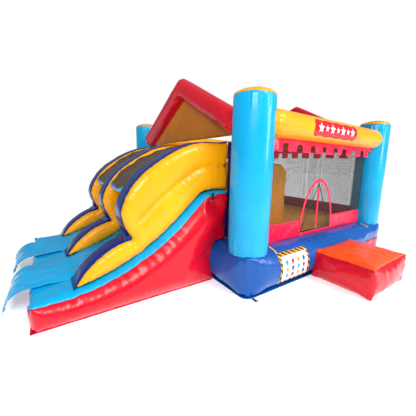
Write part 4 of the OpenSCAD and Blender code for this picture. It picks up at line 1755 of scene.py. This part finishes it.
@dataclass
class Slide:
    """The twin-lane slide: body, lanes, three humped walls with caps, lane nets and loose covers."""

    plan: Plan
    paint: Palette
    strands: StrandTree
    lane_points: tuple[tuple[float, float], ...] = (
        (-0.020, 1.190), (-0.374, 1.190), (-0.560, 1.015), (-0.750, 0.834), (-1.000, 0.640), (-1.305, 0.464),
        (-1.560, 0.350), (-1.833, 0.280), (-2.205, 0.257))
    upper_points: tuple[tuple[float, float], ...] = (
        (-0.020, 1.821), (-0.444, 1.810), (-0.680, 1.735), (-0.933, 1.597), (-1.161, 1.432), (-1.301, 1.267),
        (-1.388, 1.093), (-1.401, 0.989), (-1.370, 0.860), (-1.287, 0.722))
    lower_points: tuple[tuple[float, float], ...] = (
        (-1.287, 0.722), (-1.443, 0.680), (-1.591, 0.592), (-1.734, 0.465), (-1.820, 0.345), (-1.841, 0.292))
    rings: tuple[str, str] = ("tether_ring_near", "tether_ring_far")
    stitch: float = 0.012
    net_sag: float = 0.035
    net_ripple: float = 0.012
    cover_columns: int = 36

    def build(self) -> None:
        """Makes the whole slide."""
        self._body()
        for name in ("near", "middle", "far"):
            self._wall(name)
        self._nets()
        for name in ("near", "far"):
            self._cover(name)

    def _line(self, points: tuple[tuple[float, float], ...]) -> Outline:
        """Points measured from the front left pillar's axis, put in the frame."""
        return [(self.plan.origin.x + x, z) for x, z in points]

    def _body(self) -> None:
        """The red body and the sky blue top panel that forms the lanes."""
        low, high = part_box("slide_body")
        lane = rounded_line(self._line(self.lane_points), 2)
        base_edge, base_top = self.plan.base_low.x, self.plan.base_top
        outline = [*lane, (lane[-1][0], GROUND), (base_edge, GROUND), (base_edge, base_top),
                   (lane[0][0], base_top)]
        piece = new_piece("slide_chamber", slab(outline, low.y, high.y), self.paint.red)

        def held(points: np.ndarray) -> np.ndarray:
            """The bottom, and the top between the outer walls, which inner baffles keep in place."""
            inner = (points[:, 1] > low.y + 0.09) & (points[:, 1] < high.y - 0.09)
            top = np.interp(points[:, 0], [p[0] for p in reversed(lane)], [p[1] for p in reversed(lane)])
            return (points[:, 2] < 0.04) | (inner & (points[:, 2] > top - 0.08))

        Inflation(voxel=0.036, pressure=8.0, swell=0.055, smoothing=3).apply(piece, held, self.rings)
        sides = [Vector((x, y, z)) for x, z in even_line(lane, 0.02) for y in (low.y, high.y)]
        sides += [Vector((x, y, 0.0)) for x in np.arange(low.x, base_edge, 0.02) for y in (low.y, high.y)]
        Crown(0.045, 0.30).apply(piece, sides, 1, self.rings)
        foot = [p for p in sides if p.x < -1.2]
        hem = Pucker(depth=0.007, pitch=0.040, reach=0.06, groove=0.004, groove_width=0.014)
        hem.apply(piece, foot, 8.0)
        ends = [Vector((lane[-1][0], y, z)) for y in np.arange(low.y, high.y, 0.02)
                for z in (0.0, lane[-1][1])]
        Pucker(depth=0.006, pitch=0.05, reach=0.06, groove=0.004).apply(piece, ends, 5.0)
        keep_above(piece)
        settle(piece, HOUSE, "pvc_red", "slide_body")
        rows, down = [], []
        inset = 0.004
        for x, z in even_line(lane, 0.02):
            rows.append([Vector((x, y, z)) for y in np.linspace(low.y + inset, high.y - inset, 130)])
            down.append(Vector((0, 0, -1)))
        deck = ribbon("lane_panel", rows, down, piece, self.paint.sky, 0.005, 0.003)
        settle(deck, HOUSE, "pvc_sky_blue", "slide_deck")

    def _lane(self, x: float) -> float:
        """The lanes' height at x."""
        line = self._line(self.lane_points)[::-1]
        return float(np.interp(x, [p[0] for p in line], [p[1] for p in line]))

    def _wall(self, name: str) -> None:
        """One side wall: two tubes high at the top, one below, with a navy cap along its upper edge."""
        node = f"slide_wall_{name}"
        low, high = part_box(node)
        upper, lower = (rounded_line(self._line(points)) for points in (self.upper_points, self.lower_points))
        lane = [p for p in rounded_line(self._line(self.lane_points), 2) if p[0] > lower[-1][0]]
        foot = [(x, z + 0.012) for x, z in lane]
        outline = upper + lower[1:] + foot[::-1]
        piece = new_piece(f"{node}_tube", slab(outline, low.y, high.y), self.paint.yellow)
        crease = self._crease(upper, foot)
        edges = [p for line in (upper, lower, foot) for p in even_line(line, self.stitch).tolist()]
        border = [Vector((x, y, z)) for x, z in edges for y in (low.y, high.y)]
        folds = [Vector((x, y, z)) for x, z in crease for y in (low.y, high.y)]
        valley = Vector((upper[-1][0], 0, upper[-1][1]))
        under = Vector((valley.x + 0.17, 0, self._lane(valley.x + 0.17)))
        neck = [Vector((p.x, y, p.z)) for p in (valley.lerp(under, i / 24) for i in range(25))
                for y in (low.y, high.y)]
        Inflation(voxel=0.024, pressure=5.0, swell=0.014, smoothing=2).apply(piece)
        Crown(0.062, 0.14).apply(piece, border + folds, 1)
        edge = Pucker(depth=0.0035, pitch=0.028, reach=0.04, groove=0.003, groove_width=0.012)
        fold = Pucker(depth=0.005, pitch=0.024, reach=0.035, groove=0.018, groove_width=0.024)
        pinch = Pucker(depth=0.008, pitch=0.030, reach=0.04, groove=0.018, groove_width=0.026)
        for pucker, seams, seed in ((edge, border, 1.0), (fold, folds, 9.0), (pinch, neck, 3.0)):
            pucker.apply(piece, seams, seed)
        settle(piece, HOUSE, "pvc_yellow", node)
        self._cap(name, piece, low.y, high.y, upper + lower[1:])

    @staticmethod
    def _crease(upper: Outline, foot: Outline) -> Outline:
        """The line of stitching midway between a wall's top and its foot.

        Args:
            upper: the top line, from the house down.
            foot: the foot line, from the house down.

        Returns:
            The line's points in x and z.
        """
        top = even_line(upper, 0.012)
        top = top[: int(0.80 * len(top))]
        base = even_line([p for p in foot if p[0] > -1.62], 0.012)
        share = np.linspace(0, 1, len(top))
        known = np.linspace(0, 1, len(base))
        low = np.stack([np.interp(share, known, base[:, k]) for k in range(2)], axis=1)
        middle = (top + low) / 2
        return [tuple(p) for p in middle[: int(0.93 * len(middle))]]

    def _cap(self, name: str, wall: bpy.types.Object, y0: float, y1: float, line: Outline) -> None:
        """The navy panel along a wall's upper edge.

        Args:
            name: which wall.
            wall: its chamber.
            y0: its near side.
            y1: its far side.
            line: its upper edge, from the house to the tip.
        """
        path = even_line(line, 0.016)
        rows, ways = [], []
        for i, (x, z) in enumerate(path):
            before, after = path[max(i - 1, 0)], path[min(i + 1, len(path) - 1)]
            run = Vector((after[0] - before[0], 0, after[1] - before[1])).normalized()
            out = Vector((run.z, 0, -run.x))
            rows.append([Vector((x, y, z)) for y in np.linspace(y0 - 0.014, y1 + 0.014, 19)])
            ways.append(-out if out.dot(Vector((-0.6, 0, 0.8))) > 0 else out)
        cap = ribbon(f"wall_cap_{name}", rows, ways, wall, self.paint.navy, 0.004, 0.003)
        settle(cap, HOUSE, "pvc_navy", "wall_caps")

    def _nets(self) -> None:
        """The dark nets over each lane's upper end, bound along their lower edge."""
        low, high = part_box("lane_nets")
        bm = cad_copy("lane_nets")
        ups = [f for f in bm.faces if f.normal.z > 0.2 and abs(f.normal.y) < 0.1]
        bands: dict[int, set] = {0: set(), 1: set()}
        middle = (low.y + high.y) / 2
        for face in ups:
            for vertex in face.verts:
                bands[int(vertex.co.y > middle)].add(tuple(round(c, 4) for c in vertex.co))
        bm.free()
        for side, name in enumerate(("near", "far")):
            ys = [p[1] for p in bands[side]]
            y0, y1 = min(ys), max(ys)
            path = sorted({(p[0], p[2]) for p in bands[side]}, key=lambda p: -p[0])
            path = self._even([Vector((x, 0, z)) for x, z in path], 0.03)
            lines = []
            for i in range(int((y1 - y0) / 0.02)):
                y = y0 + (i + 0.5) * 0.02
                lines.append([Vector((p.x, y, p.z - self._sag(p.x, y, y0, y1))) for p in path])
            places = [y0 + (y1 - y0) * k / 12 for k in range(13)]
            for p in self._even(path, 0.02):
                lines.append([Vector((p.x, y, p.z - self._sag(p.x, y, y0, y1))) for y in places])
            net = self.strands.grow(f"lane_net_{name}", lines, self.paint.lane_net, 0.0034,
                                    Vector((0, 0, 0.05)), 3.0)
            settle(net, HOUSE, "brown_net", "lane_nets")
            end = path[-1]
            bm = bmesh.new()
            rows = []
            for k in range(25):
                y = y0 + (y1 - y0) * k / 24
                z = end.z - self._sag(end.x, y, y0, y1)
                rows.append([bm.verts.new((end.x + dx, y, z + dz))
                             for dx, dz in ((0.03, 0.03), (0, 0.004), (-0.012, -0.03))])
            quads(bm, rows)
            tape = new_piece(f"lane_net_binding_{name}", bm, self.paint.sky)
            thicken(tape, 0.003)
            settle(tape, HOUSE, "pvc_sky_blue")

    def _sag(self, x: float, y: float, y0: float, y1: float) -> float:
        """How far a lane net hangs between its walls."""
        across = (y - y0) / (y1 - y0)
        ripple = noise.noise(Vector((x * 8, y * 5, 0)))
        return self.net_sag * 4 * across * (1 - across) + self.net_ripple * ripple

    @staticmethod
    def _even(path: list[Vector], step: float) -> list[Vector]:
        """The points of a path in the XZ plane, spread evenly as in even_line."""
        return [Vector((x, 0, z)) for x, z in even_line([(p.x, p.z) for p in path], step)]

    def _cover(self, name: str) -> None:
        """A loose cover sheet on a lane, which lies in wrinkles and curls out past the slide's end."""
        flap = f"cover_flap_{name}"
        low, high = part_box(flap)
        sheet_low, sheet_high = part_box("cover_sheets")
        bm = cad_copy("cover_sheets")
        run = {(round(v.co.x, 4), round(v.co.z, 4)) for f in bm.faces if f.normal.z > 0.3 for v in f.verts}
        bm.free()
        path = [Vector((x, 0, z)) for x, z in sorted(run, key=lambda p: -p[0])]
        radius = high.x - low.x
        hinge = Vector((high.x, 0, high.z - radius))
        path += [hinge + Vector((-radius * math.sin(a), 0, radius * math.cos(a)))
                 for a in (math.radians(6 * i) for i in range(1, 16))]
        path = self._even(path, 0.022)
        width = high.y - low.y
        columns = self.cover_columns
        grid = bmesh.new()
        rows = []
        for k, point in enumerate(path):
            following = path[min(k + 1, len(path) - 1)] - path[max(k - 1, 0)]
            up = Vector((following.z, 0, -following.x)).normalized()
            if up.z < 0 and point.x > high.x:
                up = -up
            row = []
            for i in range(columns + 1):
                y = low.y + width * i / columns
                row.append(grid.verts.new(self._wrinkled(point, up, y, k / len(path), i / columns, name)))
            rows.append(row)
        quads(grid, rows, turned=True)
        piece = new_piece(f"cover_sheet_{name}", grid, self.paint.sky)
        thicken(piece, 0.0025)
        subdivide(piece)
        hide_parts("cover_sheets", flap)
        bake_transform(piece)

    @staticmethod
    def _wrinkled(point: Vector, up: Vector, y: float, along: float, across: float, name: str) -> Vector:
        """A point of a loose sheet, lifted by its wrinkles.

        Args:
            point: the sheet's middle line, at this place along it.
            up: away from the lane.
            y: the point's place across the lane.
            along: from 0 at the top to 1 at the curled end.
            across: from 0 to 1 over the width.
            name: which lane.

        Returns:
            The point.
        """
        seed = 3.0 if name == "near" else 17.0

        def cell(across_scale: float, along_scale: float, shift: float) -> float:
            """One layer of noise over the sheet."""
            return noise.noise(Vector((y * across_scale, point.x * along_scale, seed + shift)))

        fold = cell(7, 2.2, 0) + 0.5 * cell(17, 7, 4)
        crumple = cell(26, 15, 9) * cell(5, 4, 2)
        lift = 0.018 + 0.024 * max(fold, -0.6) * (0.5 + 0.5 * along) + 0.030 * crumple
        skew = 0.5 + 0.5 * math.sin(2.1 * across * math.pi + seed)
        bend = max(0.0, along - 0.86) / 0.14
        droop = Vector((0.03 * skew * bend, 0, -0.012 * skew * bend))
        return Vector((point.x, y, point.z)) + up * lift + droop


@dataclass
class Flanges:
    """The flat seam allowances that show on the ground along the chambers' bottom edges."""

    plan: Plan
    paint: Palette
    depth: float = 0.12
    lift: float = 0.005
    corner: float = 0.11

    def build(self) -> None:
        """Makes the base's and the slide's flanges."""
        low, high = self.plan.base_low, self.plan.base_high
        block = rounded_block(low, high, self.corner)
        ring = [v.co.copy() for v in block.verts if v.co.z < low.z + 1e-6]
        block.free()
        self._band("base_seam_flange", [*ring, ring[0]], (low + high) / 2, self.paint.royal,
                   "pvc_royal_blue")
        low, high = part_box("slide_body")
        inner = self.plan.base_low.x - 0.02
        corners = [Vector((inner, low.y, 0)), Vector((low.x, low.y, 0)), Vector((low.x, high.y, 0)),
                   Vector((inner, high.y, 0))]
        edge = [a.lerp(b, i / 40) for a, b in zip(corners, corners[1:]) for i in range(41)]
        self._band("slide_seam_flange", edge, (low + high) / 2, self.paint.trim, "pvc_red")

    def _band(self, name: str, edge: list[Vector], centre: Vector, material: bpy.types.Material,
              slot: str) -> None:
        """One flat band inside an outline on the ground.

        Args:
            name: the piece's name.
            edge: the outline.
            centre: a point inside it.
            material: its finish.
            slot: the record's material slot.
        """
        rows = []
        for point in edge:
            inward = Vector((centre.x - point.x, centre.y - point.y, 0))
            inward.x = math.copysign(min(abs(inward.x), self.depth), inward.x)
            inward.y = math.copysign(min(abs(inward.y), self.depth), inward.y)
            wave = 0.0025 * (1 + noise.noise(point * 9))
            rows.append([point + inward * k + Vector((0, 0, self.lift + wave * (1 - k)))
                         for k in (0, 0.12, 0.4, 1)])
        band = ribbon(name, rows, [Vector((0, 0, -1))] * len(rows), None, material, 0.0, 0.004)
        settle(band, HOUSE, slot)


@dataclass
class Fittings:
    """Webbing tabs with steel rings, the air inlet sleeve and the deflation opening."""

    plan: Plan
    paint: Palette

    def build(self) -> None:
        """Makes the fittings."""
        for node in (*Slide.rings, *Base.rings):
            dress(node, self.paint.steel)
        dress("anchor_tabs", self.paint.black)
        self._sleeve()
        self._vent()

    def _sleeve(self) -> None:
        """The soft air sleeve, gathered under its strap."""
        low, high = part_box("inlet_sleeve")
        centre = (low + high) / 2
        radius, length = (high.x - low.x) / 2, high.y - low.y
        strap_low, strap_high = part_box("sleeve_strap")
        bm = bmesh.new()
        around, along = 96, 60
        rings = []
        for k in range(along + 1):
            y = low.y + length * k / along
            tight = math.exp(-(((y - (strap_low.y + strap_high.y) / 2) / 0.035) ** 2))
            ring = []
            for i in range(around):
                angle = 2 * math.pi * i / around
                wave = noise.noise(Vector((math.cos(angle) * 2.4, math.sin(angle) * 2.4, y * 5)))
                gather = 0.006 * tight * math.sin(24 * angle)
                reach = radius - 0.004 + 0.006 * wave * (1 - tight) - 0.004 * tight + gather * 0.5
                ring.append(bm.verts.new((centre.x + reach * math.cos(angle), y,
                                          centre.z + reach * math.sin(angle))))
            rings.append(ring)
        quads(bm, rings, closed=True, turned=True)
        bmesh.ops.recalc_face_normals(bm, faces=bm.faces)
        piece = new_piece("air_sleeve", bm, self.paint.royal)
        thicken(piece, 0.0025)
        settle(piece, HOUSE, "pvc_royal_blue", "inlet_sleeve")
        dress("sleeve_strap", self.paint.black)

    def _vent(self) -> None:
        """The deflation zip under its loose flap."""
        dress("vent_zip", self.paint.zip)
        low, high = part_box("vent_flap")
        bm = flat_side("vent_flap", Vector((0, 1, 0)))[0]
        grid_cut(bm, 0.012, 1)
        for vertex in bm.verts:
            drop = (high.z - vertex.co.z) / (high.z - low.z)
            vertex.co.y += 0.004 * drop * (1 + noise.noise(Vector((vertex.co.x * 14, 0, 2.0))))
        piece = new_piece("vent_cover_flap", bm, self.paint.royal)
        thicken(piece, 0.0025, -1.0)
        settle(piece, "vent_cover", "pvc_royal_blue", "vent_flap")


@dataclass
class Studio:
    """A pale floor, soft light and the camera."""

    plan: Plan
    focal: float = 20.71
    eye: tuple[float, float, float] = (-1.996, -2.061, 1.55)
    yaw: float = 34.989
    pitch: float = 9.155
    roll: float = 1.435
    shift: tuple[float, float] = (-0.0096, -0.0164)
    ambient: float = 0.34
    sun_power: float = 2.2
    lamps: tuple[tuple[str, tuple[float, float, float], float, float, float], ...] = (
        ("left_lamp", (-4.8, -6.0, 4.6), 4.2, 1.9, 330.0),
        ("right_lamp", (4.0, -7.0, 3.4), 1.3, 3.6, 210.0))

    def build(self) -> None:
        """Makes the camera, floor and lights."""
        self._camera()
        self._floor()
        self._lights()

    def _camera(self) -> None:
        """A camera at standing eye height, in front of the slide's corner."""
        data = bpy.data.cameras.new("camera")
        data.sensor_width = 36.0
        data.lens = self.focal
        data.shift_x, data.shift_y = self.shift
        data.clip_end = 200
        camera = bpy.data.objects.new("camera", data)
        yaw, pitch, roll = (math.radians(a) for a in (self.yaw, self.pitch, self.roll))
        level = math.cos(pitch)
        forward = Vector((math.sin(yaw) * level, math.cos(yaw) * level, -math.sin(pitch)))
        right = Vector((math.cos(yaw), -math.sin(yaw), 0))
        up = right.cross(forward)
        right, up = (right * math.cos(roll) + up * math.sin(roll),
                     up * math.cos(roll) - right * math.sin(roll))
        turn = Matrix((right, up, -forward)).transposed().to_4x4()
        camera.matrix_world = Matrix.Translation(self.plan.at(*self.eye)) @ turn
        bpy.context.scene.collection.objects.link(camera)
        bpy.context.scene.camera = camera

    def _floor(self) -> None:
        """A plain floor far wider than the object."""
        bm = bmesh.new()
        bmesh.ops.create_grid(bm, x_segments=1, y_segments=1, size=40)
        sketch = NodeSketch("studio_floor")
        pale = Shade.FLOOR.linear
        sketch.set(Base_Color=pale, Roughness=0.85, Emission_Color=pale, Emission_Strength=0.4)
        floor = new_piece("studio_floor", bm, sketch.material)
        floor.location.z = -0.001

    def _lights(self) -> None:
        """A white backdrop with soft light from the front right, and long lamps for the highlights."""
        world = bpy.data.worlds.new("studio")
        world.use_nodes = True
        tree = world.node_tree
        dim, paper = tree.nodes["Background"], tree.nodes.new("ShaderNodeBackground")
        dim.inputs[0].default_value = (0.86, 0.92, 1.0, 1.0)
        dim.inputs[1].default_value = self.ambient
        paper.inputs[0].default_value = (1.0, 1.0, 1.0, 1.0)
        which, either = tree.nodes.new("ShaderNodeLightPath"), tree.nodes.new("ShaderNodeMixShader")
        tree.links.new(which.outputs["Is Camera Ray"], either.inputs[0])
        tree.links.new(dim.outputs[0], either.inputs[1])
        tree.links.new(paper.outputs[0], either.inputs[2])
        tree.links.new(either.outputs[0], tree.nodes["World Output"].inputs[0])
        bpy.context.scene.world = world
        sun = bpy.data.lights.new("sky_light", "SUN")
        sun.energy, sun.angle = self.sun_power, math.radians(26)
        self._aim(sun, (2.2, -5.0, 6.0))
        for name, place, width, height, power in self.lamps:
            lamp = bpy.data.lights.new(name, "AREA")
            lamp.shape, lamp.size, lamp.size_y, lamp.energy = "RECTANGLE", width, height, power
            self._aim(lamp, place)
        bpy.context.scene.view_settings.view_transform = "Standard"

    @staticmethod
    def _aim(lamp: bpy.types.Light, place: tuple[float, float, float]) -> None:
        """Puts a lamp at a place, turned to the object."""
        light = bpy.data.objects.new(lamp.name, lamp)
        light.location = place
        light.rotation_euler = (Vector((0, 0, 0.9)) - Vector(place)).to_track_quat("-Z", "Y").to_euler()
        bpy.context.scene.collection.objects.link(light)


def main() -> None:
    """Builds the sub-assemblies in order."""
    logging.basicConfig(level=logging.INFO, format="%(message)s")
    plan, paint, strands = Plan(), Palette(), StrandTree()
    Studio(plan).build()
    for part in (Base(plan, paint), Pillars(plan, paint), Beams(plan, paint), Roof(plan, paint),
                 Nets(plan, paint, strands), Step(plan, paint), Climb(plan, paint),
                 Slide(plan, paint, strands), Flanges(plan, paint), Fittings(plan, paint)):
        part.build()
        LOG.info("built %s", type(part).__name__)


if __name__ == "__main__":
    main()
